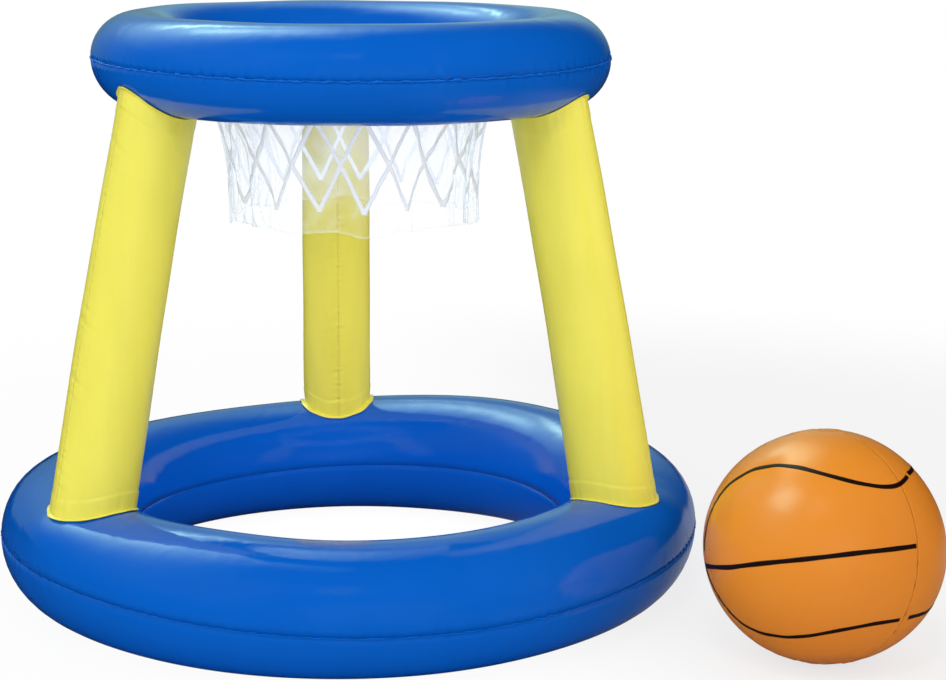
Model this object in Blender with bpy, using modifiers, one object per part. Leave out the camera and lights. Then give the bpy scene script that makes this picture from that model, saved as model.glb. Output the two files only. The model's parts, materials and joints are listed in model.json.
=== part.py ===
"""Inflatable basketball hoop for a pool, with its ball.

A fat ring floats on the water. Three leaning legs stand on it and carry a smaller ring, the rim,
and a clear sleeve with a printed net pattern hangs from the rim's inner seam. Every chamber has a
push-in valve. Metres, +Z up, seen from -Y as a person facing the hoop sees it. The origin is on the
floor, under the middle of the whole set.
"""
import math
from dataclasses import dataclass

import bmesh
import bpy
from mathutils import Euler, Matrix, Vector

# Fits
FIT_GAP = 0.0003
CUT_OVERRUN = 0.012
MERGE_REACH = 0.00001

# Base ring: a tube bent into a circle, welded from two flat rings of film
BASE_OUTER_RADIUS = 0.335
BASE_HALF_WIDTH = 0.0635
BASE_HALF_HEIGHT = 0.0595
BASE_WALL = 0.0003
BASE_STEPS = 48

# Rim ring: the soft legs let it sit a little off the base ring's centre
RIM_OUTER_RADIUS = 0.244
RIM_HALF_WIDTH = 0.0455
RIM_HALF_HEIGHT = 0.0437
RIM_WALL = 0.0003
RIM_HEIGHT = 0.5095
RIM_SHIFT_X = 0.005
RIM_SHIFT_Y = 0.002
RIM_STEPS = 36
PANEL_FACETS = 7

# Legs: tubes of two panels that narrow to a neck at each ring
LEG_DIRECTIONS = {"rear": 90.3, "left": 209.7, "right": 329.5}
LEG_FOOT_OUTSET = 0.0165
LEG_HEAD_OUTSET = -0.0015
LEG_FOOT_RADIUS = 0.0370
LEG_HEAD_RADIUS = 0.0350
LEG_NECK_RADIUS = 0.0330
LEG_NECK_LENGTH = 0.032
LEG_WALL = 0.0003
LEG_FACETS = 8
LEG_FLANGE_RADIUS = 0.0395
LEG_FLANGE_BORE = 0.0270
LEG_FLANGE_THICKNESS = 0.0010
LEG_FLANGE_STEPS = 24
VENT_RADIUS = 0.010
NECK_SWELL_SHARES = ((0.0, 0.0), (0.35, 0.62), (1.0, 1.0))

# Net: a clear sleeve under the rim, with a printed lattice of diamonds
NET_DIAMONDS = RIM_STEPS // 2
NET_DIAMOND_HEIGHT = 0.0836
NET_HALF_ROWS = 4
NET_HEM_ROWS = 3.5
NET_TOP_DROP = 0.0041
NET_TAPER = 0.0315
NET_WALL = 0.0003
NET_FLARE_POWER = 2.4
NET_FOLDS = 9
NET_FOLD_DEPTH = 0.003
PRINT_STROKE = 0.003
PRINT_THICKNESS = 0.0003
PRINT_HALF_ROWS = 3
BAND_WIDTH = 0.012
BAND_THICKNESS = 0.001

# Ball: three gores and two round patches
BALL_RADIUS = 0.1025
BALL_BEARING_DEGREES = -35
BALL_GAP = 0.0497
BALL_WALL = 0.0003
BALL_PATCH_RADIUS = 0.020
BALL_GORES = 3
GORE_STEPS = 8
GORE_FACETS = 10
BALL_LEAN_DEGREES = 15
BALL_ROLL_DEGREES = 2
BALL_TURN_DEGREES = 65

# Valves: a flanged stem, a hinged stopper and an inner check flap
VALVE_FLANGE_RADIUS = 0.009
VALVE_FLANGE_THICKNESS = 0.0010
VALVE_STEM_RADIUS = 0.0050
VALVE_BORE_RADIUS = 0.0034
VALVE_STEM_HEIGHT = 0.0055
VALVE_LIP_RADIUS = 0.0060
VALVE_LIP_HEIGHT = 0.0012
VALVE_SKIRT_DEPTH = 0.0055
VALVE_STEPS = 16
CAP_RADIUS = 0.0060
CAP_THICKNESS = 0.0012
PLUG_DEPTH = 0.0040
PLUG_TAPER = 0.0010
STRAP_WIDTH = 0.0040
STRAP_THICKNESS = 0.0010
STRAP_REACH = 0.0025
TAB_REACH = 0.0030
FLAP_RADIUS = 0.0045
FLAP_THICKNESS = 0.0006

# Each valve's facet down its body's outline and its step round it, both away from the viewer
BASE_VALVE_PLACE = (5, 8)
RIM_VALVE_PLACE = (6, 7)
BALL_VALVE_PLACE = (6, 3)

BLUE = (0.004, 0.095, 0.50)
YELLOW = (0.80, 0.74, 0.085)
ORANGE = (0.78, 0.26, 0.022)
CLEAR = (0.90, 0.93, 0.97)
WHITE = (0.80, 0.82, 0.86)
MILKY = (0.72, 0.76, 0.80)


def collection(name):
    """Add a collection to the scene."""
    made = bpy.data.collections.new(name)
    bpy.context.scene.collection.children.link(made)
    return made


def material(name, colour, roughness, alpha=1.0):
    """Make a Principled material of one plain colour."""
    made = bpy.data.materials.new(name)
    made.use_nodes = True
    shader = made.node_tree.nodes["Principled BSDF"]
    shader.inputs["Base Color"].default_value = (*colour, 1.0)
    shader.inputs["Roughness"].default_value = roughness
    shader.inputs["Metallic"].default_value = 0.0
    shader.inputs["Alpha"].default_value = alpha
    return made


def frame(name, matrix, parent=None):
    """Add an empty that carries pieces; its matrix is given in its parent's space."""
    empty = bpy.data.objects.new(name, None)
    GUIDES.objects.link(empty)
    empty.parent = parent
    empty.matrix_basis = matrix
    return empty


def add(name, work, carrier, finish=None):
    """Turn a bmesh into a piece, or into a cutter where no finish is given."""
    mesh = bpy.data.meshes.new(name)
    work.to_mesh(mesh)
    work.free()
    made = bpy.data.objects.new(name, mesh)
    made.parent = carrier
    if finish is None:
        GUIDES.objects.link(made)
        made.hide_render = True
        made.display_type = "WIRE"
    else:
        PARTS.objects.link(made)
        mesh.materials.append(finish)
    return made


def outline(points, closed=False):
    """Draw a profile of (radius, height) points, its outer side running from top to bottom."""
    work = bmesh.new()
    corners = [work.verts.new((radius, 0, height)) for radius, height in points]
    for first, second in zip(corners, corners[1:]):
        work.edges.new((first, second))
    if closed:
        work.edges.new((corners[-1], corners[0]))
    return work


def turn(made, steps, angle=2 * math.pi):
    """Sweep a profile about the object's own Z axis."""
    screw = made.modifiers.new("turn", "SCREW")
    screw.angle = angle
    screw.steps = steps
    screw.render_steps = steps
    screw.use_merge_vertices = True
    screw.merge_threshold = MERGE_REACH
    screw.use_smooth_shade = True


def thicken(made, wall, outward=False):
    """Give an open skin its wall, grown inward unless told otherwise."""
    solid = made.modifiers.new("wall", "SOLIDIFY")
    solid.thickness = wall
    solid.offset = 1 if outward else -1
    solid.use_even_offset = True


def combine(made, operation, other):
    """Add a Boolean modifier of the named operation."""
    step = made.modifiers.new(other.name, "BOOLEAN")
    step.operation = operation
    step.object = other


def bar(low, high):
    """A box between two corners."""
    work = bmesh.new()
    bmesh.ops.create_cube(work, size=1)
    size = Vector(high) - Vector(low)
    middle = (Vector(high) + Vector(low)) / 2
    bmesh.ops.transform(work, matrix=Matrix.LocRotScale(middle, None, size), verts=work.verts)
    return work


def rod(radius, low, high, steps):
    """A round bar along Z from one height to another."""
    work = bmesh.new()
    bmesh.ops.create_cone(work, cap_ends=True, segments=steps, radius1=radius, radius2=radius,
                          depth=high - low)
    bmesh.ops.translate(work, vec=(0, 0, (high + low) / 2), verts=work.verts)
    return work


@dataclass
class Turned:
    """An inflated body of revolution: the corners of its outline, its steps and its carrier."""

    name: str
    carrier: bpy.types.Object
    steps: int
    circle_radius: float
    half_width: float
    half_height: float
    angles: list
    closed: bool

    def corner(self, index, offset=0.0):
        """Outline corner, moved outward by an offset; a flat facet keeps the true half height."""
        flat = math.cos(math.pi / (2 * PANEL_FACETS)) if self.closed else 1.0
        angle = self.angles[index]
        return (self.circle_radius + (self.half_width + offset) * math.cos(angle),
                (self.half_height + offset) / flat * math.sin(angle))

    def envelope(self, label, offset):
        """A closed solid of the whole outer surface, moved outward, for cutting what sits on it."""
        points = [self.corner(index, offset) for index in range(len(self.angles))]
        if not self.closed:
            points[0] = (0, points[0][1])
            points[-1] = (0, points[-1][1])
        made = add(f"{self.name}_{label}", outline(points, self.closed), self.carrier)
        turn(made, self.steps)
        return made

    def facet_frame(self, facet, step):
        """Matrix whose Z leaves the middle of one flat facet and whose Y runs round the body."""
        (r1, z1), (r2, z2) = self.corner(facet), self.corner(facet + 1)
        around = 2 * math.pi / self.steps
        out = Matrix.Rotation((step + 0.5) * around, 4, "Z")
        middle = Vector(((r1 + r2) / 2 * math.cos(around / 2), 0, (z1 + z2) / 2))
        normal = Vector(((z1 - z2) / math.cos(around / 2), 0, r2 - r1)).normalized()
        side = Vector((0, 1, 0))
        rise = side.cross(normal)
        turned = Matrix((rise, side, normal)).transposed().to_4x4()
        return out @ Matrix.Translation(middle) @ turned


def ring_angles():
    """Outline angles of a ring's tube, from the inner seam over the top and back under it."""
    step = math.pi / PANEL_FACETS
    return [math.pi - index * step for index in range(2 * PANEL_FACETS)]


def ball_angles():
    """Outline angles of the ball: the poles, and the gores' corners between the two patches."""
    edge = math.pi / 2 - math.asin(BALL_PATCH_RADIUS / BALL_RADIUS)
    step = 2 * edge / GORE_FACETS
    return [math.pi / 2] + [edge - index * step for index in range(GORE_FACETS + 1)] + [-math.pi / 2]


def ring_panel(ring, label, wall, finish, upper):
    """One of a ring's two welded films: the half tube over or under the seams."""
    lift = FIT_GAP / 2
    first = 0 if upper else PANEL_FACETS
    points = []
    for index in range(first, first + PANEL_FACETS + 1):
        radius, height = ring.corner(index % (2 * PANEL_FACETS))
        squeezed = height * (ring.half_height - lift) / ring.half_height
        points.append((radius, squeezed + (lift if upper else -lift)))
    made = add(f"{ring.name}_{label}", outline(points), ring.carrier, finish)
    turn(made, ring.steps)
    thicken(made, wall)
    return made


def saddle(name, body, carrier, span, radii, thickness, steps, finish):
    """A washer round the carrier's Z axis that lies on an inflated body like a welded flange.

    The span is the stretch of the axis, low and high, that holds only the wanted side of the body.
    """
    low, high = span
    radius, bore = radii
    points = [(radius, high), (radius, low), (bore, low), (bore, high)]
    made = add(name, outline(points, closed=True), carrier, finish)
    turn(made, steps)
    combine(made, "INTERSECT", body.envelope(f"{name}_top", FIT_GAP + thickness))
    combine(made, "DIFFERENCE", body.envelope(f"{name}_seat", FIT_GAP))
    return made


def leg_frame(name, degrees, hoop, base, rim):
    """Carrier of one leg: Z runs up its axis from the base tube's middle, X points outward."""
    angle = math.radians(degrees)
    outward = Vector((math.cos(angle), math.sin(angle), 0))
    foot = base.carrier.location + outward * (base.circle_radius + LEG_FOOT_OUTSET)
    head = rim.carrier.location + outward * (rim.circle_radius + LEG_HEAD_OUTSET)
    along = (head - foot).normalized()
    side = along.cross(outward).normalized()
    turned = Matrix((side.cross(along), side, along)).transposed().to_4x4()
    return frame(f"{name}_frame", Matrix.Translation(foot) @ turned, hoop), (head - foot).length


def leg_profile(length):
    """Radii down a leg, with a neck at each ring and a slight taper between."""
    high = length - RIM_HALF_HEIGHT
    low = BASE_HALF_HEIGHT
    top = [(LEG_NECK_RADIUS + (LEG_HEAD_RADIUS - LEG_NECK_RADIUS) * swell, high - LEG_NECK_LENGTH * way)
           for way, swell in NECK_SWELL_SHARES]
    bottom = [(LEG_NECK_RADIUS + (LEG_FOOT_RADIUS - LEG_NECK_RADIUS) * swell, low + LEG_NECK_LENGTH * way)
              for way, swell in reversed(NECK_SWELL_SHARES)]
    return [(LEG_NECK_RADIUS, length)] + top + bottom + [(LEG_NECK_RADIUS, 0)]


def build_leg(name, degrees, hoop, base, rim, finish):
    """A leg's two panels, its foot and head flanges, and the carrier that they share."""
    carrier, length = leg_frame(name, degrees, hoop, base, rim)
    seam_turn = FIT_GAP / LEG_FOOT_RADIUS
    clear = 2 * FIT_GAP + LEG_FLANGE_THICKNESS
    foot_cut = base.envelope(f"{name}_cut", clear)
    head_cut = rim.envelope(f"{name}_cut", clear)
    for half in range(2):
        work = outline(leg_profile(length))
        start = Matrix.Rotation(math.pi * half + seam_turn / 2, 3, "Z")
        bmesh.ops.rotate(work, matrix=start, verts=work.verts)
        panel = add(f"{name}_panel_{half + 1}", work, carrier, finish)
        turn(panel, LEG_FACETS, math.pi - seam_turn)
        thicken(panel, LEG_WALL)
        combine(panel, "DIFFERENCE", foot_cut)
        combine(panel, "DIFFERENCE", head_cut)
    head = frame(f"{name}_head_frame", Matrix.Translation((0, 0, length)), carrier)
    lower = frame(f"{name}_head_down", Matrix.Rotation(math.pi, 4, "X"), head)
    for label, body, spot in (("foot", base, carrier), ("head", rim, lower)):
        saddle(f"{name}_{label}_flange", body, spot, (0, body.half_height + CUT_OVERRUN),
               (LEG_FLANGE_RADIUS, LEG_FLANGE_BORE), LEG_FLANGE_THICKNESS, LEG_FLANGE_STEPS, finish)
    return carrier, length


def net_radius(share):
    """The sleeve's radius at a share of its height: narrow at the hem and flared to the weld band."""
    layers = BAND_THICKNESS + PRINT_THICKNESS + 3 * FIT_GAP
    mouth = RIM_OUTER_RADIUS - 2 * RIM_HALF_WIDTH - layers
    return mouth - NET_TAPER * (1 - share ** NET_FLARE_POWER)


def net_skin(offset, half_rows):
    """The sleeve's surface down to a number of half diamonds, creased along the lattice's lines."""
    work = bmesh.new()
    bmesh.ops.create_cone(work, cap_ends=False, segments=2 * NET_DIAMONDS, radius1=1, radius2=1, depth=1)
    upright = [edge for edge in work.edges if edge.verts[0].co.z * edge.verts[1].co.z < 0]
    bmesh.ops.subdivide_edges(work, edges=upright, cuts=NET_HALF_ROWS - 1)
    place = {}
    for vert in work.verts:
        column = round(math.atan2(vert.co.y, vert.co.x) * NET_DIAMONDS / math.pi) % (2 * NET_DIAMONDS)
        place[vert] = (column, round((0.5 - vert.co.z) * NET_HALF_ROWS))
    for face in list(work.faces):
        ends = [vert for vert in face.verts if sum(place[vert]) % 2 == 0]
        bmesh.utils.face_split(face, ends[0], ends[1])
    for vert, (column, row) in place.items():
        vert.co = net_point(column, row, offset)
    spare = [vert for vert, (column, row) in place.items() if row > half_rows]
    bmesh.ops.delete(work, geom=spare, context="VERTS")
    return work


def net_point(column, row, offset=0.0):
    """A corner of the sleeve's skin, with the folds that deepen toward the hem."""
    level = min(row, NET_HEM_ROWS)
    share = 1 - level / NET_HEM_ROWS
    angle = column * math.pi / NET_DIAMONDS
    fold = NET_FOLD_DEPTH * (1 - share) * math.cos(NET_FOLDS * angle)
    radius = net_radius(share) + fold + offset
    return Vector((radius * math.cos(angle), radius * math.sin(angle),
                   -NET_TOP_DROP - level * NET_DIAMOND_HEIGHT / 2))


def diamond_prisms():
    """Radial prisms that leave only the lattice's strokes of the printed skin."""
    work = bmesh.new()
    reach = net_radius(1) - net_radius(1 - 1 / NET_HEM_ROWS) + CUT_OVERRUN
    for row in range(PRINT_HALF_ROWS + 1):
        for column in range((row + 1) % 2, 2 * NET_DIAMONDS, 2):
            middle = net_point(column, row)
            angle = column * math.pi / NET_DIAMONDS
            radius = math.hypot(middle.x, middle.y)
            half_width = radius * math.tan(math.pi / NET_DIAMONDS)
            half_height = NET_DIAMOND_HEIGHT / 2
            inner = half_width * half_height / math.hypot(half_width, half_height)
            kept = 1 - PRINT_STROKE / 2 / inner
            made = bmesh.ops.create_cone(work, cap_ends=True, segments=4, radius1=1, radius2=1, depth=1)
            size = Matrix.Diagonal((half_width * kept, half_height * kept, 2 * reach, 1))
            upright = Matrix.Rotation(math.pi / 2, 4, "Z") @ Matrix.Rotation(math.pi / 2, 4, "X")
            spin = Matrix.Translation(middle) @ Matrix.Rotation(angle, 4, "Z")
            bmesh.ops.transform(work, matrix=spin @ upright @ size, verts=made["verts"])
    return work


def build_net(rim, film, ink):
    """The weld band at the rim's inner seam, the clear sleeve below it and the printed lattice."""
    outer = rim.circle_radius - rim.half_width - FIT_GAP
    half = BAND_WIDTH / 2
    inner = outer - BAND_THICKNESS
    points = [(outer, half), (outer, -half), (inner, -half), (inner, half)]
    band = add("net_weld_band", outline(points, closed=True), rim.carrier, film)
    turn(band, rim.steps)
    sleeve = add("net_sleeve", net_skin(0, NET_HALF_ROWS), rim.carrier, film)
    thicken(sleeve, NET_WALL)
    lattice = add("net_printed_lattice", net_skin(FIT_GAP, PRINT_HALF_ROWS), rim.carrier, ink)
    thicken(lattice, PRINT_THICKNESS, outward=True)
    combine(lattice, "DIFFERENCE", add("net_diamonds", diamond_prisms(), rim.carrier))


def valve_stem():
    """Profile of a valve's stem: a lip, the tube through the film and a skirt inside."""
    top = VALVE_STEM_HEIGHT
    return [(VALVE_LIP_RADIUS, top), (VALVE_LIP_RADIUS, top - VALVE_LIP_HEIGHT),
            (VALVE_STEM_RADIUS, top - VALVE_LIP_HEIGHT), (VALVE_STEM_RADIUS, -VALVE_SKIRT_DEPTH),
            (VALVE_BORE_RADIUS, -VALVE_SKIRT_DEPTH), (VALVE_BORE_RADIUS, top)]


def build_valve(name, body, place, panel, finish):
    """A valve through one facet of a panel: flanged stem, hinged stopper and check flap."""
    spot = frame(f"{name}_frame", body.facet_frame(*place), body.carrier)
    bore = (VALVE_STEM_RADIUS + VALVE_BORE_RADIUS) / 2
    stem = saddle(f"{name}_stem", body, spot, (-CUT_OVERRUN, CUT_OVERRUN), (VALVE_FLANGE_RADIUS, bore),
                  VALVE_FLANGE_THICKNESS, VALVE_STEPS, finish)
    tube = add(f"{name}_tube", outline(valve_stem(), closed=True), spot)
    turn(tube, VALVE_STEPS)
    combine(stem, "UNION", tube)
    hinge_x = -VALVE_LIP_RADIUS - STRAP_REACH
    top = VALVE_STEM_HEIGHT
    tongue = add(f"{name}_tongue", bar((hinge_x + FIT_GAP, -STRAP_WIDTH / 2, top - STRAP_THICKNESS),
                                       (-bore, STRAP_WIDTH / 2, top)), spot)
    combine(stem, "UNION", tongue)
    drill = rod(VALVE_STEM_RADIUS + FIT_GAP, -CUT_OVERRUN, CUT_OVERRUN, VALVE_STEPS)
    combine(panel, "DIFFERENCE", add(f"{name}_hole", drill, spot))
    build_stopper(name, spot, hinge_x, finish)
    build_flap(name, spot, finish)
    return spot


def build_stopper(name, spot, hinge_x, finish):
    """The plug with its cap, pull tab and strap, turning about the end of the stem's tongue."""
    hinge = frame(f"{name}_stopper_hinge", Matrix.Translation((hinge_x, 0, VALVE_STEM_HEIGHT)), spot)
    low = FIT_GAP
    high = low + CAP_THICKNESS
    plug = VALVE_BORE_RADIUS - FIT_GAP
    points = [(0, high), (CAP_RADIUS, high), (CAP_RADIUS, low), (plug, low),
              (plug - PLUG_TAPER, -PLUG_DEPTH), (0, -PLUG_DEPTH)]
    stopper = add(f"{name}_stopper", outline(points), hinge, finish)
    stopper.location = (-hinge_x, 0, 0)
    turn(stopper, VALVE_STEPS)
    middle = CAP_RADIUS / 2
    half = STRAP_WIDTH / 2
    level = low + (CAP_THICKNESS - STRAP_THICKNESS) / 2
    top = level + STRAP_THICKNESS
    far = -hinge_x + CAP_RADIUS + TAB_REACH
    strap = bar((0, -half, low), (-hinge_x - middle, half, top))
    pull = bar((-hinge_x + middle, -half, level), (far, half, top))
    combine(stopper, "UNION", add(f"{name}_strap", strap, hinge))
    combine(stopper, "UNION", add(f"{name}_pull", pull, hinge))


def build_flap(name, spot, finish):
    """The check flap under the skirt, turning about its own edge."""
    level = -VALVE_SKIRT_DEPTH - FIT_GAP
    hinge = frame(f"{name}_flap_hinge", Matrix.Translation((-FLAP_RADIUS, 0, level)), spot)
    flap = add(f"{name}_flap", rod(FLAP_RADIUS, -FLAP_THICKNESS, 0, VALVE_STEPS), hinge, finish)
    flap.location = (FLAP_RADIUS, 0, 0)


def build_ring(name, label, centre, sizes, wall, steps, place, hoop, finishes):
    """A ring's two panels and its valve; returns the ring and its lower panel."""
    outer, half_width, half_height = sizes
    finish, valve_finish = finishes
    carrier = frame(f"{name}_centre", Matrix.Translation(centre), hoop)
    ring = Turned(name, carrier, steps, outer - half_width, half_width, half_height, ring_angles(), True)
    upper = ring_panel(ring, "upper_panel", wall, finish, upper=True)
    lower = ring_panel(ring, "lower_panel", wall, finish, upper=False)
    build_valve(f"{label}_valve", ring, place, upper, valve_finish)
    return ring, lower


def build_ball(hoop, finish, valve_finish):
    """The ball's gores, round end patches and valve."""
    lean, roll, spin = (math.radians(degrees) for degrees in
                        (-BALL_LEAN_DEGREES, -BALL_ROLL_DEGREES, BALL_TURN_DEGREES))
    turned = Euler((lean, roll, 0)).to_matrix().to_4x4() @ Matrix.Rotation(spin, 4, "Z")
    away = BASE_OUTER_RADIUS + BALL_GAP + BALL_RADIUS
    bearing = math.radians(BALL_BEARING_DEGREES)
    place = Matrix.Translation((away * math.cos(bearing), away * math.sin(bearing), BALL_RADIUS))
    carrier = frame("ball_centre", place @ turned, hoop)
    steps = BALL_GORES * GORE_STEPS
    ball = Turned("ball", carrier, steps, 0, BALL_RADIUS, BALL_RADIUS, ball_angles(), False)
    seam_turn = FIT_GAP / BALL_PATCH_RADIUS
    span = 2 * math.pi / BALL_GORES
    gores = []
    for number in range(BALL_GORES):
        work = outline([ball.corner(index) for index in range(1, GORE_FACETS + 2)])
        start = Matrix.Rotation(number * span + seam_turn / 2, 3, "Z")
        bmesh.ops.rotate(work, matrix=start, verts=work.verts)
        gore = add(f"ball_gore_{number + 1}", work, carrier, finish)
        turn(gore, GORE_STEPS, span - seam_turn)
        thicken(gore, BALL_WALL)
        gores.append(gore)
    build_patches(ball, finish)
    valve_gore = gores[BALL_VALVE_PLACE[1] // GORE_STEPS]
    build_valve("ball_valve", ball, BALL_VALVE_PLACE, valve_gore, valve_finish)


def build_patches(ball, finish):
    """The round patch at each end of the ball."""
    edge = BALL_PATCH_RADIUS - FIT_GAP
    height = math.sqrt(BALL_RADIUS ** 2 - BALL_PATCH_RADIUS ** 2)
    for label, sign in (("top", 1), ("bottom", -1)):
        points = [(0, sign * BALL_RADIUS), (edge, sign * height)][::sign]
        patch = add(f"ball_{label}_patch", outline(points), ball.carrier, finish)
        turn(patch, ball.steps)
        thicken(patch, BALL_WALL)


def stand_on_origin(root):
    """Move the set so that the origin lies on the floor under the middle of its bounds."""
    bpy.context.view_layer.update()
    scene = bpy.context.evaluated_depsgraph_get()
    corners = []
    for made in PARTS.objects:
        solid = made.evaluated_get(scene)
        corners += [solid.matrix_world @ vert.co for vert in solid.data.vertices]
    low = [min(corner[axis] for corner in corners) for axis in range(3)]
    high = [max(corner[axis] for corner in corners) for axis in range(3)]
    root.location -= Vector(((low[0] + high[0]) / 2, (low[1] + high[1]) / 2, 0))


def main():
    """Build the whole set."""
    blue = material("blue_vinyl", BLUE, 0.25)
    yellow = material("yellow_vinyl", YELLOW, 0.35)
    orange = material("orange_vinyl", ORANGE, 0.25)
    film = material("clear_film", CLEAR, 0.15, 0.35)
    ink = material("white_ink", WHITE, 0.5)
    soft = material("valve_vinyl", MILKY, 0.3)
    hoop = frame("hoop_axis", Matrix.Identity(4))
    base, _ = build_ring("base_ring", "base", (0, 0, BASE_HALF_HEIGHT),
                         (BASE_OUTER_RADIUS, BASE_HALF_WIDTH, BASE_HALF_HEIGHT), BASE_WALL, BASE_STEPS,
                         BASE_VALVE_PLACE, hoop, (blue, soft))
    rim, rim_lower = build_ring("rim_ring", "rim", (RIM_SHIFT_X, RIM_SHIFT_Y, RIM_HEIGHT),
                                (RIM_OUTER_RADIUS, RIM_HALF_WIDTH, RIM_HALF_HEIGHT), RIM_WALL, RIM_STEPS,
                                RIM_VALVE_PLACE, hoop, (blue, soft))
    for side, degrees in LEG_DIRECTIONS.items():
        carrier, length = build_leg(f"leg_{side}", degrees, hoop, base, rim, yellow)
        vent = add(f"vent_{side}", rod(VENT_RADIUS, length - RIM_HALF_HEIGHT - CUT_OVERRUN, length,
                                       LEG_FLANGE_STEPS), carrier)
        combine(rim_lower, "DIFFERENCE", vent)
    build_net(rim, film, ink)
    build_ball(hoop, orange, soft)
    stand_on_origin(hoop)


for leftover in list(bpy.data.objects):
    bpy.data.objects.remove(leftover)
PARTS = collection("floating_basketball_hoop")
GUIDES = collection("cutters_and_frames")
main()
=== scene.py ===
"""Inflatable basketball hoop for a pool, with its ball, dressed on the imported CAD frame.

Each film piece is rebuilt finer than its CAD node, with its seams, puckers, folds and printing.
Metres, +Z up, seen from -Y. The finished pieces stand at the origin with their place in their mesh.
"""
import json
import logging
import math
from collections.abc import Callable
from dataclasses import dataclass
from enum import Enum

import bmesh
import bpy
import numpy as np
from mathutils import Euler, Matrix, Vector

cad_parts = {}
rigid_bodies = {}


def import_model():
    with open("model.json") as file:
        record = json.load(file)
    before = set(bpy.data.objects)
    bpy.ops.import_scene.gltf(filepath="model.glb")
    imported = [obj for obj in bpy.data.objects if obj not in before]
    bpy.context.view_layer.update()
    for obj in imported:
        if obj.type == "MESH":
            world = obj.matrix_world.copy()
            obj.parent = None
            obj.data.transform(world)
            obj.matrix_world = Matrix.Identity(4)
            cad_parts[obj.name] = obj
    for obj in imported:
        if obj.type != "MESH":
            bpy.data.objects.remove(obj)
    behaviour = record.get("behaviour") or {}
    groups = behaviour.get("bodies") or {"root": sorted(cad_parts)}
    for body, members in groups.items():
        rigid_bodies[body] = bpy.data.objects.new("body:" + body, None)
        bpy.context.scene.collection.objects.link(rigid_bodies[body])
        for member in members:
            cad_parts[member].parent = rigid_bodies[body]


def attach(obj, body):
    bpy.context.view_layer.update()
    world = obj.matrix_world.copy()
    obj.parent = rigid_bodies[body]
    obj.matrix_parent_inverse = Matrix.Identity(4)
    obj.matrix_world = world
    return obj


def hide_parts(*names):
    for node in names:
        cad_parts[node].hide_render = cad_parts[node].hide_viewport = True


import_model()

LOG = logging.getLogger("hoop")
Array = np.ndarray
Place = Callable[[Array, Array, float], Array]
FULL_TURN = 2 * math.pi
FILM_WALL = 0.0003
PRINT_WALL = 0.0001
INWARD = -1.0
PROBE = 0.0002
WELD_GAP = 0.00002
MERGE_REACH = 0.00001
SHARP_TURN = 0.9
HOOP_AXIS = Vector((-0.08311, 0.023303, 0.0))


class Body(Enum):
    """The CAD bodies that carry the pieces."""

    HOOP = "hoop"
    BALL = "ball"
    BASE_STOPPER = "base_stopper"
    BASE_FLAP = "base_flap"
    RIM_STOPPER = "rim_stopper"
    RIM_FLAP = "rim_flap"
    BALL_STOPPER = "ball_stopper"
    BALL_FLAP = "ball_flap"


class Slot(Enum):
    """The record's material slots."""

    BLUE = "blue_vinyl"
    YELLOW = "yellow_vinyl"
    CLEAR = "clear_film"
    INK = "white_ink"
    ORANGE = "orange_vinyl"
    VALVE = "valve_vinyl"


# Numbers over arrays

def ease(share: Array) -> Array:
    """Go smoothly from 0 to 1, flat at both ends."""
    held = np.clip(share, 0, 1)
    return held * held * (3 - 2 * held)


def bell(distance: Array, width: float) -> Array:
    """Fall smoothly from 1 with distance; the width is where it has come down to 0.37."""
    return np.exp(-(distance / width) ** 2)


def wrapped(angle: Array) -> Array:
    """Bring angles to between half a turn back and half a turn on."""
    return (angle + math.pi) % FULL_TURN - math.pi


def polar(centre: Vector, radius: Array, around: Array, height: Array) -> Array:
    """Return points from a radius, an angle and a height about an upright line through a centre."""
    return np.stack((centre.x + radius * np.cos(around), centre.y + radius * np.sin(around),
                     centre.z + height), axis=1)


@dataclass(frozen=True)
class Ripple:
    """An uneven wave round a closed line: a seeded sum of cosines with whole numbers of turns."""

    seed: int
    fewest: int
    most: int
    parts: int = 14

    def __call__(self, angle: Array) -> Array:
        """Return the wave's height at each angle, with a spread of about 1.

        Args:
            angle: radians round the line.

        Returns:
            The heights.
        """
        draw = np.random.default_rng(self.seed)
        turns = draw.integers(self.fewest, self.most + 1, self.parts)
        phases = draw.uniform(0, FULL_TURN, self.parts)
        weights = draw.uniform(0.4, 1.0, self.parts)
        wave = sum(w * np.cos(n * angle + p) for n, p, w in zip(turns, phases, weights))
        return wave / math.sqrt(float((weights ** 2).sum()) / 2)


# Meshes

@dataclass(frozen=True)
class Grid:
    """A fine grid over two spans of numbers, which a place function turns into a surface.

    Fields:
        across, along: first and last value of the two coordinates.
        columns, rows: faces each way.
    """

    across: tuple[float, float]
    along: tuple[float, float]
    columns: int
    rows: int

    def mesh(self, name: str) -> bpy.types.Mesh:
        """Return the flat grid, its X from 0 to 1 across and its Y from 0 to 1 along.

        Args:
            name: the mesh's name.

        Returns:
            The mesh.
        """
        work = bmesh.new()
        bmesh.ops.create_grid(work, x_segments=self.columns, y_segments=self.rows, size=0.5)
        bmesh.ops.translate(work, vec=(0.5, 0.5, 0), verts=work.verts)
        return mesh_from(work, name)


def mesh_from(work: bmesh.types.BMesh, name: str) -> bpy.types.Mesh:
    """Turn a bmesh into a mesh of that name, and free it."""
    made = bpy.data.meshes.new(name)
    work.to_mesh(made)
    work.free()
    return made


def points_of(mesh: bpy.types.Mesh) -> Array:
    """Return the vertices as an array of rows.

    Args:
        mesh: the mesh to read.

    Returns:
        Its corners, one row each.
    """
    flat = np.empty(len(mesh.vertices) * 3)
    mesh.vertices.foreach_get("co", flat)
    return flat.reshape(-1, 3)


def set_points(mesh: bpy.types.Mesh, points: Array) -> None:
    """Move the vertices to an array of rows."""
    mesh.vertices.foreach_set("co", np.asarray(points, float).ravel())
    mesh.update()


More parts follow.
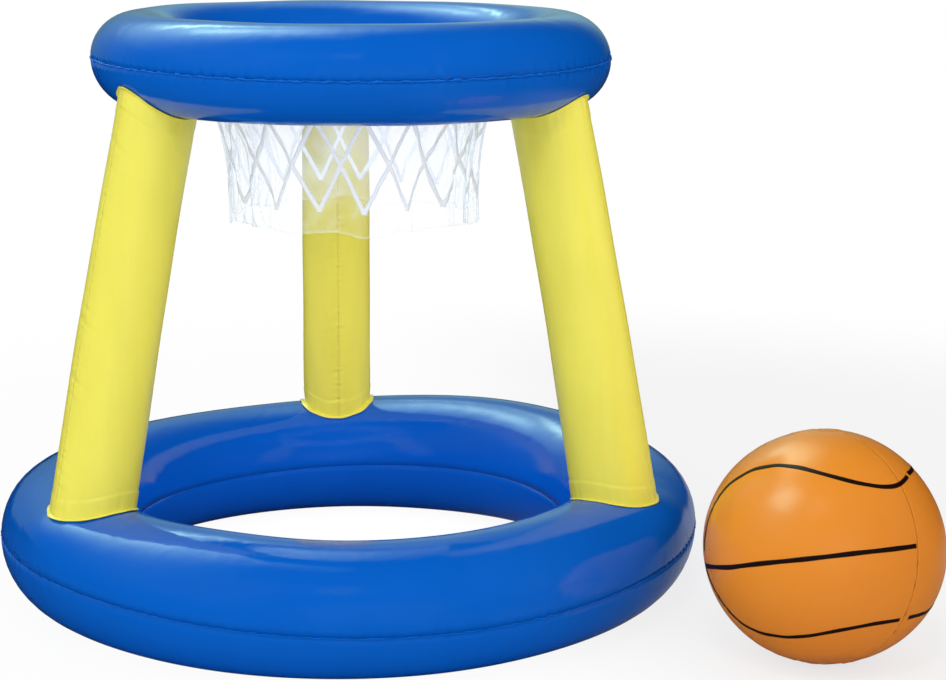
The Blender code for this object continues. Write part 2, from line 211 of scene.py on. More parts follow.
def close_up(mesh: bpy.types.Mesh, reach: float = MERGE_REACH) -> None:
    """Join vertices that lie on one another, so that seams and poles are closed.

    Args:
        mesh: the mesh, changed in place.
        reach: how near they lie, in metres.
    """
    work = bmesh.new()
    work.from_mesh(mesh)
    bmesh.ops.remove_doubles(work, verts=work.verts, dist=reach)
    bmesh.ops.dissolve_degenerate(work, dist=reach / 10, edges=work.edges)
    work.to_mesh(mesh)
    work.free()


def face_outward(mesh: bpy.types.Mesh, outward: Array) -> None:
    """Turn the faces round where most of them look against the outward directions.

    Args:
        mesh: the mesh, changed in place.
        outward: one direction for each vertex.
    """
    normals = np.empty(len(mesh.vertices) * 3)
    mesh.vertices.foreach_get("normal", normals)
    if (normals.reshape(-1, 3) * outward).sum() < 0:
        mesh.flip_normals()


def round_edges(work: bmesh.types.BMesh, edges: list, width: float, segments: int = 3) -> None:
    """Bevel edges to a small radius."""
    bmesh.ops.bevel(work, geom=edges, offset=width, segments=segments, profile=0.5, affect="EDGES",
                    material=-1, clamp_overlap=True)


def sharp_edges(work: bmesh.types.BMesh) -> list:
    """Return the edges whose two faces turn away from one another."""
    return [edge for edge in work.edges if edge.calc_face_angle(0) > SHARP_TURN]


def spun(profile: list[tuple[float, float]], closed: bool, rounding: float) -> bmesh.types.BMesh:
    """Spin a profile about Z and round its sharp edges.

    Args:
        profile: (radius, height) corners.
        closed: whether the last corner joins the first.
        rounding: the bevel's width.

    Returns:
        The turned shape, its faces outward.
    """
    work = bmesh.new()
    corners = [work.verts.new((radius, 0, height)) for radius, height in profile]
    after = corners[1:] + corners[:1] if closed else corners[1:]
    edges = [work.edges.new(pair) for pair in zip(corners, after)]
    bmesh.ops.spin(work, geom=corners + edges, cent=(0, 0, 0), axis=(0, 0, 1), angle=FULL_TURN,
                   steps=64, use_merge=True, use_duplicate=False)
    bmesh.ops.remove_doubles(work, verts=work.verts, dist=MERGE_REACH)
    bmesh.ops.recalc_face_normals(work, faces=work.faces)
    round_edges(work, sharp_edges(work), rounding)
    return work


def mark(mesh: bpy.types.Mesh, name: str, values: Array) -> None:
    """Write one number for each vertex, for the materials to read."""
    made = mesh.attributes.new(name, "FLOAT", "POINT")
    made.data.foreach_set("value", np.asarray(values, np.float32))


@dataclass(frozen=True)
class Coat:
    """A material with the record's slot that it fills."""

    slot: Slot
    material: bpy.types.Material


@dataclass(frozen=True)
class Piece:
    """How a finished mesh enters the set.

    Fields:
        wall: thickness that it is given inward from its outer face, or 0 where it is closed.
        in_cad: whether it replaces the CAD node of its name.
    """

    name: str
    body: Body
    coat: Coat
    wall: float = FILM_WALL
    in_cad: bool = True

    def add(self, mesh: bpy.types.Mesh) -> bpy.types.Object:
        """Place the mesh as this piece.

        Args:
            mesh: the piece in the row frame, its faces outward.

        Returns:
            The object, thickened, smooth and riding on its body.
        """
        mesh.materials.append(self.coat.material)
        mesh.polygons.foreach_set("use_smooth", [True] * len(mesh.polygons))
        made = bpy.data.objects.new(self.name, mesh)
        bpy.context.scene.collection.objects.link(made)
        if self.wall:
            solid = made.modifiers.new("wall", "SOLIDIFY")
            solid.thickness = self.wall
            solid.offset = INWARD
        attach(made, self.body.value)
        if self.in_cad:
            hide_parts(self.name)
        LOG.info("%s: %d faces", self.name, len(mesh.polygons))
        return made

    def surface(self, grid: Grid, place: Place, marks: dict[str, Callable] | None = None,
                trim: Callable[[Array], Array] | None = None) -> bpy.types.Object:
        """Build the piece from a grid.

        Args:
            grid: the two coordinates' spans and the faces each way.
            place: gives row-frame points for both coordinates and an offset outward.
            marks: attributes by name, each a function of both coordinates.
            trim: picks the points, as true or false, that are cut away.

        Returns:
            The finished object.
        """
        mesh = grid.mesh(self.name)
        flat = points_of(mesh)
        across = grid.across[0] + (grid.across[1] - grid.across[0]) * flat[:, 0]
        along = grid.along[0] + (grid.along[1] - grid.along[0]) * flat[:, 1]
        points = place(across, along, 0.0)
        outward = place(across, along, PROBE) - points
        set_points(mesh, points)
        for name, of in (marks or {}).items():
            mark(mesh, name, of(across, along))
        face_outward(mesh, outward)
        if trim is not None:
            self.cut(mesh, trim)
        close_up(mesh)
        return self.add(mesh)

    @staticmethod
    def cut(mesh: bpy.types.Mesh, trim: Callable[[Array], Array]) -> None:
        """Take away the faces that touch a picked point.

        Args:
            mesh: the mesh, changed in place.
            trim: picks points, as true or false.
        """
        work = bmesh.new()
        work.from_mesh(mesh)
        picked = trim(points_of(mesh))
        spare = [vert for vert, gone in zip(work.verts, picked) if gone]
        bmesh.ops.delete(work, geom=spare, context="VERTS")
        work.to_mesh(mesh)
        work.free()


# Materials

Socket = bpy.types.NodeSocket
Value = float | tuple | Socket


class Graph:
    """Adds and links the nodes of one shader tree."""

    def __init__(self, tree: bpy.types.NodeTree) -> None:
        """Keep the tree to fill."""
        self.tree = tree

    def add(self, kind: str, inputs: dict | None = None, **settings) -> bpy.types.Node:
        """Add a node.

        Args:
            kind: the node's type.
            inputs: values or sockets by input name or number.
            settings: the node's own properties.

        Returns:
            The node.
        """
        node = self.tree.nodes.new(kind)
        for key, value in settings.items():
            setattr(node, key, value)
        self.feed(node, inputs or {})
        return node

    def feed(self, node: bpy.types.Node, inputs: dict) -> None:
        """Link sockets to a node's inputs and write plain values there, by name or number."""
        for key, value in inputs.items():
            if isinstance(value, Socket):
                self.tree.links.new(value, node.inputs[key])
            else:
                node.inputs[key].default_value = value

    def math(self, operation: str, *values: Value) -> Socket:
        """Combine numbers and return the result's socket."""
        return self.add("ShaderNodeMath", dict(enumerate(values)), operation=operation).outputs[0]

    def times(self, first: Value, second: Value) -> Socket:
        """Multiply two numbers."""
        return self.math("MULTIPLY", first, second)

    def plus(self, first: Value, second: Value) -> Socket:
        """Add two numbers."""
        return self.math("ADD", first, second)

    def minus(self, first: Value, second: Value) -> Socket:
        """Take the second number from the first."""
        return self.math("SUBTRACT", first, second)

    def between(self, value: Value, low: Value, high: Value, start: Value = 0.0,
                end: Value = 1.0, smooth: bool = True) -> Socket:
        """Map a value from one range to another, held at both ends.

        Args:
            value: what is mapped.
            low, high: the range that it comes from.
            start, end: the range that it goes to.
            smooth: whether it eases at both ends.

        Returns:
            The result's socket.
        """
        kind = "SMOOTHSTEP" if smooth else "LINEAR"
        inputs = {"Value": value, 1: low, 2: high, 3: start, 4: end}
        return self.add("ShaderNodeMapRange", inputs, interpolation_type=kind).outputs[0]

    def colour(self, factor: Value, first: Value, second: Value,
               blend: str = "MIX") -> Socket:
        """Blend two colours and return the result's socket.

        Args:
            factor: share of the second colour.
            first, second: the colours.
            blend: how they are blended.

        Returns:
            The result's socket.
        """
        node = self.add("ShaderNodeMix", {0: factor, 6: first, 7: second}, data_type="RGBA",
                        blend_type=blend)
        return node.outputs[2]

    def noise(self, vector: Value, scale: Value, detail: float = 3.0, rough: float = 0.5,
              warp: float = 0.0) -> Socket:
        """Return a noise texture's value.

        Args:
            vector: where it is read.
            scale: waves per metre.
            detail, rough, warp: the texture's own settings.

        Returns:
            The value's socket.
        """
        inputs = {"Vector": vector, "Scale": scale, "Detail": detail, "Roughness": rough,
                  "Distortion": warp}
        return self.add("ShaderNodeTexNoise", inputs).outputs[0]

    def read(self, name: str) -> Socket:
        """Return a vertex attribute's number."""
        return self.add("ShaderNodeAttribute", attribute_name=name).outputs["Fac"]

    def bump(self, height: Value) -> Socket:
        """Return the normal of a surface with that height in metres."""
        return self.add("ShaderNodeBump", {"Height": height, "Distance": 1.0, "Strength": 1.0}).outputs[0]

    def tinted(self, colour: tuple[float, float, float], shade: Value) -> Socket:
        """Return a colour times a shade."""
        return self.colour(1.0, (*colour, 1.0), self.vector(shade, shade, shade), "MULTIPLY")

    def place(self) -> Socket:
        """Return the point's place in the object's own space."""
        return self.add("ShaderNodeTexCoord").outputs["Object"]

    def vector(self, x: Value, y: Value, z: Value = 0.0) -> Socket:
        """Join three numbers."""
        return self.add("ShaderNodeCombineXYZ", {0: x, 1: y, 2: z}).outputs[0]


def new_material(name: str) -> tuple[bpy.types.Material, Graph, bpy.types.Node]:
    """Start a material.

    Args:
        name: the material's name.

    Returns:
        The material, its graph and its shader, which is no metal.
    """
    made = bpy.data.materials.new(name)
    made.use_nodes = True
    shader = made.node_tree.nodes["Principled BSDF"]
    shader.inputs["Metallic"].default_value = 0.0
    return made, Graph(made.node_tree), shader


def group(name: str, inputs: dict[str, float],
          outputs: tuple[str, ...]) -> tuple[Graph, bpy.types.Node, bpy.types.Node]:
    """Start a shared effect.

    Args:
        name: the group's name.
        inputs: its inputs with their usual values.
        outputs: its outputs.

    Returns:
        The graph to fill, and its input and output nodes.
    """
    tree = bpy.data.node_groups.new(name, "ShaderNodeTree")
    for label, value in inputs.items():
        made = tree.interface.new_socket(label, in_out="INPUT", socket_type="NodeSocketFloat")
        made.default_value = value
    for label in outputs:
        tree.interface.new_socket(label, in_out="OUTPUT", socket_type="NodeSocketFloat")
    graph = Graph(tree)
    return graph, graph.add("NodeGroupInput"), graph.add("NodeGroupOutput")


def film_skin() -> bpy.types.NodeTree:
    """Vinyl film's own unevenness: fine grain, soft waves and patches that are a little duller.

    Returns:
        The group: Height, Shade and Dull from Grain, Waves and Wear.
    """
    graph, given, made = group("film_skin", {"Grain": 1.0, "Waves": 1.0, "Wear": 1.0},
                               ("Height", "Shade", "Dull"))
    place = graph.place()
    grain = graph.noise(place, 900, 2.0, 0.6)
    waves = graph.noise(place, 34, 2.0, 0.45, 0.4)
    patches = graph.noise(place, 9, 3.0, 0.55)
    scuffs = graph.between(graph.noise(place, 160, 4.0, 0.7, 1.5), 0.62, 0.74)
    fine = graph.times(grain, graph.times(given.outputs["Grain"], 0.02))
    worn = graph.plus(graph.times(scuffs, 0.5), graph.between(patches, 0.45, 0.75))
    graph.feed(made, {"Height": graph.plus(fine, graph.times(waves, given.outputs["Waves"])),
                      "Shade": graph.between(patches, 0.3, 0.7, 0.97, 1.02),
                      "Dull": graph.times(worn, given.outputs["Wear"])})
    return graph.tree


def seam_pucker() -> bpy.types.NodeTree:
    """Small creases that leave a weld at right angles, from the marks round and away from it.

    Returns:
        The group: Height and Mask from Reach and Pitch.
    """
    graph, given, made = group("seam_pucker", {"Reach": 0.006, "Pitch": 0.004}, ("Height", "Mask"))
    around, away = graph.read("seam_around"), graph.read("seam_away")
    step = graph.math("DIVIDE", around, given.outputs["Pitch"])
    creases = graph.noise(graph.vector(step, graph.times(away, 30)), 1.0, 2.0, 0.55)
    fall = graph.math("DIVIDE", away, graph.times(given.outputs["Reach"], -1))
    near = graph.math("EXPONENT", fall)
    graph.feed(made, {"Height": graph.times(creases, near), "Mask": near})
    return graph.tree


@dataclass(frozen=True)
class Vinyl:
    """Coloured film: its finish and how strongly its skin and seams show."""

    name: str
    colour: tuple[float, float, float]
    rough: float
    specular: float = 0.5
    wave_depth: float = 0.0006
    pucker_depth: float = 0.0
    pucker_reach: float = 0.006
    pucker_pitch: float = 0.004
    seam_shade: float = 0.0
    streaks: float = 0.0
    dulling: float = 0.05

    def build(self, skin: bpy.types.NodeTree, pucker: bpy.types.NodeTree) -> bpy.types.Material:
        """Return the material, made from both shared effects.

        Args:
            skin, pucker: the two shared effects.

        Returns:
            The material.
        """
        made, graph, shader = new_material(self.name)
        coat = graph.add("ShaderNodeGroup", node_tree=skin)
        crease = graph.add("ShaderNodeGroup", {"Reach": self.pucker_reach, "Pitch": self.pucker_pitch},
                           node_tree=pucker)
        shade = coat.outputs["Shade"]
        if self.streaks:
            shade = graph.times(shade, self.streak_shade(graph))
        if self.seam_shade:
            shadow = graph.math("MULTIPLY_ADD", crease.outputs["Mask"], -self.seam_shade, 1.0)
            shade = graph.times(shade, shadow)
        height = graph.plus(graph.times(coat.outputs["Height"], self.wave_depth),
                            graph.times(crease.outputs["Height"], self.pucker_depth))
        graph.feed(shader, {
            "Base Color": graph.tinted(self.colour, shade),
            "Roughness": graph.math("MULTIPLY_ADD", coat.outputs["Dull"], self.dulling, self.rough),
            "Normal": graph.bump(height),
            "Specular IOR Level": self.specular})
        return made

    def streak_shade(self, graph: Graph) -> Socket:
        """Return faint long streaks that run up the piece."""
        stretch = graph.add("ShaderNodeMapping", {"Vector": graph.place(), "Scale": (46, 46, 3.5)})
        streak = graph.noise(stretch.outputs[0], 1.0, 3.0, 0.6)
        return graph.between(streak, 0.3, 0.7, 1 - self.streaks, 1 + self.streaks / 3)


@dataclass(frozen=True)
class ClearFilm:
    """Thin clear film: nearly open face on, milky at glancing angles and along its creases.

    Fields:
        shaded, lit, folded: its grey up in the rim's shade, below it, and in its folds.
        face_on, edge_on: how much it covers there, before creases and clouds add to it.
    """

    name: str = "clear_film"
    shaded: tuple[float, float, float, float] = (0.63, 0.68, 0.74, 1)
    lit: tuple[float, float, float, float] = (0.80, 0.86, 0.91, 1)
    folded: tuple[float, float, float, float] = (0.42, 0.50, 0.61, 1)
    face_on: float = 0.115
    edge_on: float = 0.34
    crease_cover: float = 0.48
    cloud_cover: float = 0.06
    most_cover: float = 0.9
    shine_through: float = 0.54

    def build(self) -> bpy.types.Material:
        """Return the material."""
        made, graph, shader = new_material(self.name)
        glance = graph.add("ShaderNodeLayerWeight", {"Blend": 0.35}).outputs["Facing"]
        crease = graph.read("crease")
        place = graph.place()
        cloud = graph.between(graph.noise(place, 26, 4.0, 0.6, 0.8), 0.46, 0.66)
        fine = graph.noise(place, 240, 3.0, 0.6, 1.0)
        edge = graph.between(glance, 0.25, 0.95, self.face_on, self.edge_on)
        cover = graph.plus(graph.times(edge, graph.read("veil")), graph.times(crease, self.crease_cover))
        cover = graph.plus(cover, graph.times(cloud, self.cloud_cover))
        grey = graph.math("MAXIMUM", graph.between(glance, 0.35, 0.95, 0.0, 0.75), crease)
        plain = graph.colour(graph.read("whiteness"), self.shaded, self.lit)
        colour = graph.colour(grey, plain, self.folded)
        height = graph.plus(graph.times(fine, 0.00012), graph.times(cloud, 0.0008))
        graph.feed(shader, {
            "Base Color": colour,
            "Emission Color": colour,
            "Emission Strength": self.shine_through,
            "Alpha": graph.math("MINIMUM", cover, self.most_cover),
            "Roughness": graph.between(fine, 0.3, 0.7, 0.06, 0.14),
            "Normal": graph.bump(height)})
        return made


@dataclass(frozen=True)
class Ink:
    """Printing ink on film, with its uneven cover; thin ink lets light shine through."""

    name: str
    colour: tuple[float, float, float]
    cover: float
    rough: float
    specular: float = 0.5
    shine_through: float = 0.23

    def build(self) -> bpy.types.Material:
        """Return the material."""
        made, graph, shader = new_material(self.name)
        place = graph.place()
        patch = graph.noise(place, 70, 3.0, 0.6)
        grain = graph.noise(place, 1100, 2.0, 0.6)
        tinted = graph.tinted(self.colour, graph.between(grain, 0.3, 0.7, 0.94, 1.0))
        graph.feed(shader, {
            "Base Color": tinted,
            "Roughness": graph.between(patch, 0.3, 0.7, self.rough, self.rough + 0.1),
            "Normal": graph.bump(graph.times(grain, 0.00004)),
            "Specular IOR Level": self.specular})
        if self.cover < 1:
            graph.feed(shader, {
                "Alpha": graph.between(patch, 0.35, 0.7, self.cover, self.cover * 0.92),
                "Emission Color": tinted,
                "Emission Strength": self.shine_through})
        return made


class Finishes:
    """Every finish of the set, built once, with the slot that it fills."""

    def __init__(self) -> None:
        """Build the finishes."""
        shared = film_skin(), seam_pucker()
        self.blue = Coat(Slot.BLUE, Vinyl("blue_vinyl", (0.0012, 0.108, 0.535), 0.11, specular=0.4,
                                          pucker_depth=0.0004, seam_shade=0.05).build(*shared))
        self.bead = Coat(Slot.BLUE, Vinyl("blue_weld", (0.003, 0.135, 0.62), 0.14, specular=0.4,
                                          wave_depth=0.001).build(*shared))
        self.yellow = Coat(Slot.YELLOW, Vinyl("yellow_vinyl", (0.84, 0.78, 0.10), 0.30,
                                              pucker_depth=0.0004, streaks=0.03,
                                              seam_shade=0.02).build(*shared))
        self.orange = Coat(Slot.ORANGE, Vinyl("orange_vinyl", (0.735, 0.230, 0.016), 0.28,
                                              pucker_depth=0.0003, seam_shade=0.01).build(*shared))
        self.valve = Coat(Slot.VALVE, Vinyl("valve_vinyl", (0.72, 0.76, 0.80), 0.28).build(*shared))
        self.clear = Coat(Slot.CLEAR, ClearFilm().build())
        self.white = Coat(Slot.INK, Ink("white_ink", (0.82, 0.86, 0.92), 0.92, 0.5).build())
        self.black = Coat(Slot.ORANGE, Ink("black_ink", (0.012, 0.004, 0.003), 1.0, 0.35,
                                           specular=0.2).build())


# Rings

@dataclass(frozen=True)
class Ring:
    """An inflated ring of two films: an oval tube bent into a circle, welded outside and inside.

    Fields:
        circle_radius: from the ring's axis to the tube's middle.
        stands: whether it is pressed flat underneath by the floor.
        steps: faces round the ring.
        pinch, pucker: depth of the weld's groove and of the small dents along it.
        sways, weld_sways: soft lobes of the height and of the outer weld.
        pulls: where the film is drawn out, see pull.
        lean: fall of the ring towards +X, as a slope.
    """

    name: str
    centre: Vector
    circle_radius: float
    half_width: float
    half_height: float
    stands: bool
    seed: int
    steps: int
    pinch: float
    pucker: float
    bead_radius: float
    sways: tuple[tuple[float, int, float], ...] = ()
    weld_sways: tuple[tuple[float, int, float], ...] = ()
    pulls: tuple[tuple[float, float, float, float, float], ...] = ()
    lean: float = 0.0
    flat_share: float = 0.975
    floor_press: float = 2500
    slow_wave: float = 0.00025
    dent_reach: float = 0.011
    pucker_reach: float = 0.0035
    inner_reach: float = 0.005
    outer_groove: float = 0.0015
    inner_groove: float = 0.0010
    bead_pitch: float = 0.0047
    bead_sway: float = 0.00022

    @staticmethod
    def lobes(waves: tuple[tuple[float, int, float], ...], around: Array) -> Array:
        """Return a sum of soft lobes round the ring; each is (height, lobes, direction in degrees).

        Args:
            waves: (height, lobes, direction in degrees) for each.
            around: angle round the ring, in radians.

        Returns:
            The sum.
        """
        rise = np.zeros_like(around)
        for most, turns, way in waves:
            rise = rise + most * np.cos(turns * (around - math.radians(way)))
        return rise

    def pull(self, around: Array, over: Array) -> Array:
        """Return how far the film is drawn out of the plain tube.

        Args:
            around, over: the ring's two angles.

        Returns:
            Metres along the normal, from pulls of (direction, angle over, rise, spread round the
            ring, spread over the tube).
        """
        rise = np.zeros_like(around)
        for way, tilt, most, wide, high in self.pulls:
            off, up = wrapped(around - math.radians(way)), wrapped(over - math.radians(tilt))
            rise = rise + most * bell(off, wide) * bell(up, high)
        return rise

    def turned(self, around: Array, over: Array) -> Array:
        """Return the tube's true angle, with the outer weld's rise and fall."""
        return over + self.lobes(self.weld_sways, around) / self.half_height * np.cos(over / 2) ** 2

    def wave(self, number: int, fewest: int, most: int) -> Ripple:
        """Return one of the film's own waves; its lengths are given in faces round the ring."""
        return Ripple(self.seed + number, int(self.steps / fewest), int(self.steps / most))

    def lift(self, around: Array, over: Array) -> Array:
        """Return how far the film stands out of the plain tube: welds, puckers and soft waves.

        Args:
            around: angle round the ring, in radians.
            over: angle round the tube from the outer weld, in radians.

        Returns:
            Metres outward.
        """
        outer = self.half_height * np.abs(over)
        inner = self.half_height * np.abs(math.pi - np.abs(over))
        own = np.where(over >= 0, self.wave(3, 26, 13)(around), self.wave(4, 26, 13)(around))
        slow = Ripple(self.seed + 5, 2, 9)(around + 0.15 * np.sin(over)) * self.slow_wave
        slow = slow + self.pull(around, over)
        long_dents = -np.maximum(own - 0.5, 0) * self.pucker * 1.3 * np.exp(-outer / self.dent_reach)
        long_dents = long_dents * (1 - bell(outer, 0.002))
        short_dents = self.wave(0, 12, 7)(around) * self.pucker * np.exp(-outer / self.pucker_reach)
        welds = -self.pinch * (bell(outer, self.outer_groove) + 0.5 * bell(inner, self.inner_groove))
        inner_dents = self.wave(6, 22, 14)(around) * self.pucker * 0.15
        return slow + long_dents + short_dents + welds + inner_dents * np.exp(-inner / self.inner_reach)

    def point(self, around: Array, over: Array, offset: Array | float = 0.0) -> Array:
        """Return row-frame points.

        Args:
            around: angle round the ring from +X, in radians.
            over: angle round the tube from the outer weld over the top.
            offset: how far outside the film's outer face.
        """
        angle = self.turned(around, over)
        across, up = np.cos(angle) / self.half_width, np.sin(angle) / self.half_height
        length = np.hypot(across, up)
        out = offset + self.lift(around, over)
        radius = self.circle_radius + self.half_width * np.cos(angle) + out * across / length
        height = self.half_height * np.sin(angle) + out * up / length
        if self.stands:
            bottom = -self.half_height
            low = bottom / self.flat_share * np.abs(np.sin(angle)) + out * up / length
            held = np.logaddexp(low * self.floor_press, bottom * self.floor_press) / self.floor_press
            height = np.where(angle < 0, np.maximum(held, bottom), height)
            height = (height - bottom) * (1 + self.lobes(self.sways, around)) + bottom
        return polar(self.centre, radius, around, height - self.lean * radius * np.cos(around))

    def lay(self, points: Array, rise: Array) -> Array:
        """Lay points near the film on it, with a rise."""
        return self.point(*self.angles(points), rise)

    def inside(self, points: Array) -> Array:
        """Return a number below 0 inside the plain tube and above 0 outside it.

        Args:
            points: row-frame points.

        Returns:
            One number each.
        """
        around, over = self.angles(points)
        local = points - np.array(self.centre)
        reach = (np.hypot(local[:, 0], local[:, 1]) - self.circle_radius) / self.half_width
        size = np.hypot(reach, self.level(local, around) / self.half_height)
        return size - 1 - self.pull(around, over) / self.half_height

    def level(self, local: Array, around: Array) -> Array:
        """Return heights over the tube's middle with the sway and the lean taken out.

        Args:
            local: points from the ring's centre.
            around: angle round the ring, in radians.

        Returns:
            The heights.
        """
        height = local[:, 2] + self.lean * local[:, 0]
        if not self.stands:
            return height
        return (height + self.half_height) / (1 + self.lobes(self.sways, around)) - self.half_height

    def angles(self, points: Array) -> tuple[Array, Array]:
        """Return both angles of points near the film.

        Args:
            points: row-frame points.

        Returns:
            The angles round the ring and over the tube.
        """
        local = points - np.array(self.centre)
        reach = (np.hypot(local[:, 0], local[:, 1]) - self.circle_radius) / self.half_width
        around = np.arctan2(local[:, 1], local[:, 0])
        angle = np.arctan2(self.level(local, around) / self.half_height, reach)
        over = angle
        for _ in range(3):
            over = angle - (self.turned(around, over) - over)
        return around, over

    def away(self, around: Array, over: Array) -> Array:
        """Return the distance along the film to the nearer weld."""
        return self.half_height * np.minimum(np.abs(over), np.abs(math.pi - np.abs(over)))

    def build(self, finishes: Finishes, trim: Callable) -> None:
        """Build the two films and the crinkled bead of the outer weld.

        Args:
            finishes: the set's finishes.
            trim: picks the points that the valve's hole takes away.
        """
        gap = WELD_GAP / self.half_height
        length = self.circle_radius + self.half_width
        marks = {"seam_around": lambda around, over: around * length, "seam_away": self.away}
        for label, way, cut in (("upper", 1, trim), ("lower", -1, None)):
            piece = Piece(f"{self.name}_{label}_panel", Body.HOOP, finishes.blue)
            grid = Grid((0, FULL_TURN), (way * gap, way * (math.pi - gap)), self.steps, 26)
            piece.surface(grid, self.point, marks, cut)
        self.build_bead(finishes)

    def build_bead(self, finishes: Finishes) -> None:
        """Build the raised weld line, twisted a little like a cord by the film's puckers."""
        turns = round(FULL_TURN * (self.circle_radius + self.half_width) / self.bead_pitch)

        def place(around: Array, across: Array, offset: float) -> Array:
            """Lay the bead along the outer weld.

            Args:
                around: angle round the ring, in radians.
                across: angle round the bead.
                offset: metres outward from the film's outer face.

            Returns:
                Row-frame points, one row each.
            """
            weave = np.cos(turns * around + across + 2 * Ripple(self.seed + 8, 9, 40)(around))
            uneven = 1 + 0.18 * Ripple(self.seed + 9, 30, 120)(around)
            size = self.bead_radius * (1 + 0.32 * weave) * uneven + offset
            sway = Ripple(self.seed + 7, int(turns / 5), int(turns / 2))(around) * self.bead_sway
            out = size * np.cos(across)
            shift = (out * np.cos(around), out * np.sin(around), sway + size * 1.1 * np.sin(across))
            return self.point(around, np.zeros_like(around), 0.0002) + np.stack(shift, axis=1)

        piece = Piece(f"{self.name}_outer_weld", Body.HOOP, finishes.bead, wall=0, in_cad=False)
        piece.surface(Grid((0, FULL_TURN), (0, FULL_TURN), turns * 8, 8), place)


# Legs

@dataclass(frozen=True)
class Leg:
    """A leg of two films between the base ring and the rim, with a collar and flange at each end.

    Fields:
        degrees: where it stands round the base ring; head_turn is added for its head.
        foot_outset, head_outset: how far its ends stand outside the tubes' middles.
        neck_radius: half its width across the ring at both ends; neck_length is how far that goes.
        bow: how far its middle bends outward.
        foot_corners: how far the foot stands out of a circle.
    """

    name: str
    degrees: float
    base: Ring
    rim: Ring
    seed: int
    foot_outset: float = 0.0165
    head_outset: float = -0.0015
    foot_radius: float = 0.0388
    head_radius: float = 0.0356
    neck_radius: float = 0.0380
    bow: float = 0.0
    head_turn: float = 0.0
    foot_corners: float = 0.0
    neck_length: float = 0.032
    neck_power: float = 2.3
    collar: float = 0.017
    collar_rise: float = 0.0005
    collar_edge: float = 0.0015
    flange_radius: float = 0.0412
    flange_thickness: float = 0.0011
    flange_lobe: float = 0.0016
    pucker: float = 0.00022
    pucker_reach: float = 0.003
    dent: float = 0.0004
    dent_reach: float = 0.010
    groove: float = 0.00012
    groove_width: float = 0.0010
    strain: float = 0.00025
    strain_reach: float = 0.012

    def ends(self) -> tuple[Vector, Vector, Vector]:
        """Return the middle of the foot and of the head, and the way outward.

        Returns:
            Foot, head and a level unit vector.
        """
        angle = math.radians(self.degrees)
        outward = Vector((math.cos(angle), math.sin(angle), 0))
        foot = self.base.centre + outward * (self.base.circle_radius + self.foot_outset)
        top_angle = angle + math.radians(self.head_turn)
        top_way = Vector((math.cos(top_angle), math.sin(top_angle), 0))
        head = self.rim.centre + top_way * (self.rim.circle_radius + self.head_outset)
        return foot, head, outward

    def axes(self) -> tuple[Array, Array, float]:
        """Return the foot, the local axes as rows and the length between the two tubes' middles."""
        foot, head, outward = self.ends()
        along = (head - foot).normalized()
        side = along.cross(outward).normalized()
        return np.array(foot), np.array((side.cross(along), side, along)), (head - foot).length

    def at(self, radius: Array, angle: Array, height: Array) -> Array:
        """Return row-frame points from a radius, an angle and a height along the leg's axis.

        Args:
            radius, angle, height: about the leg's axis, from its foot.

        Returns:
            Row-frame points, one row each.
        """
        foot, axes, _ = self.axes()
        local = (radius * np.cos(angle), radius * np.sin(angle), height * np.ones_like(angle))
        return foot + np.stack(local, axis=1) @ axes

    def corners(self, angle: Array) -> Array:
        """Return how far the foot stands out of a circle, at its four corners."""
        return self.foot_corners * np.sin(2 * angle) ** 2

    def contact(self, radius: Array, angle: Array, ring: Ring, from_head: bool) -> Array:
        """Return the heights where lines beside the leg's axis leave one ring's tube.

        Args:
            radius, angle: where the lines lie.
            ring: the ring they leave.
            from_head: whether that is the rim, at the head.

        Returns:
            The heights.
        """
        _, _, length = self.axes()
        start = length if from_head else 0.0
        way = -1 if from_head else 1
        low, high = np.zeros_like(angle), np.full_like(angle, 0.12)
        for _ in range(34):
            middle = (low + high) / 2
            inner = ring.inside(self.at(radius, angle, start + way * middle)) < 0
            low, high = np.where(inner, middle, low), np.where(inner, high, middle)
        return start + way * (low + high) / 2

    @staticmethod
    def narrowing(angle: Array) -> Array:
        """Return how much an end narrows, most of all across the ring."""
        return 0.25 + 0.75 * np.sin(angle) ** 2

    def rounded(self, distance: Array) -> Array:
        """Go from 0 at an end to 1 past its neck, steep at first."""
        return 1 - (1 - np.clip(distance / self.neck_length, 0, 1)) ** self.neck_power

    def tables(self) -> tuple[Array, Array, Array]:
        """Return angles round the leg with the heights of its lower and upper end there.

        Returns:
            The angles, the lower heights and the upper heights.
        """
        angle = np.linspace(0, FULL_TURN, 361)
        narrow = self.narrowing(angle)
        foot = self.foot_radius - (self.foot_radius - self.neck_radius) * narrow + self.corners(angle)
        head = self.head_radius - np.maximum(self.head_radius - self.neck_radius, 0.001) * narrow
        low, high = self.contact(foot, angle, self.base, False), self.contact(head, angle, self.rim, True)
        return angle, low, high

    def film(self) -> Place:
        """Return the place function of the leg's film, from angle and share of height.

        Returns:
            A function of angle, share of height and offset.
        """
        table, lows, highs = self.tables()

        def place(angle: Array, share: Array, offset: float) -> Array:
            """Lay the film between both rings.

            Args:
                angle: round the leg, in radians.
                share: of the height, 0 to 1.
                offset: metres outward from the film's outer face.

            Returns:
                Row-frame points, one row each.
            """
            low, high = np.interp(angle, table, lows), np.interp(angle, table, highs)
            height = low + share * (high - low)
            from_foot, to_head = height - low, high - height
            swell, crown = self.rounded(from_foot), self.rounded(to_head)
            body = self.foot_radius + (self.head_radius - self.foot_radius) * share
            spare = np.maximum(body - self.neck_radius, 0.001) * self.narrowing(angle)
            radius = body - spare * (1 - np.minimum(swell, crown)) + self.corners(angle) * (1 - swell)
            radius = radius + self.relief(angle, share, from_foot, to_head) + offset
            bend = self.bow * np.sin(math.pi * share)[:, None] * np.array(self.ends()[2])
            return self.at(radius, angle, height) + bend

        return place

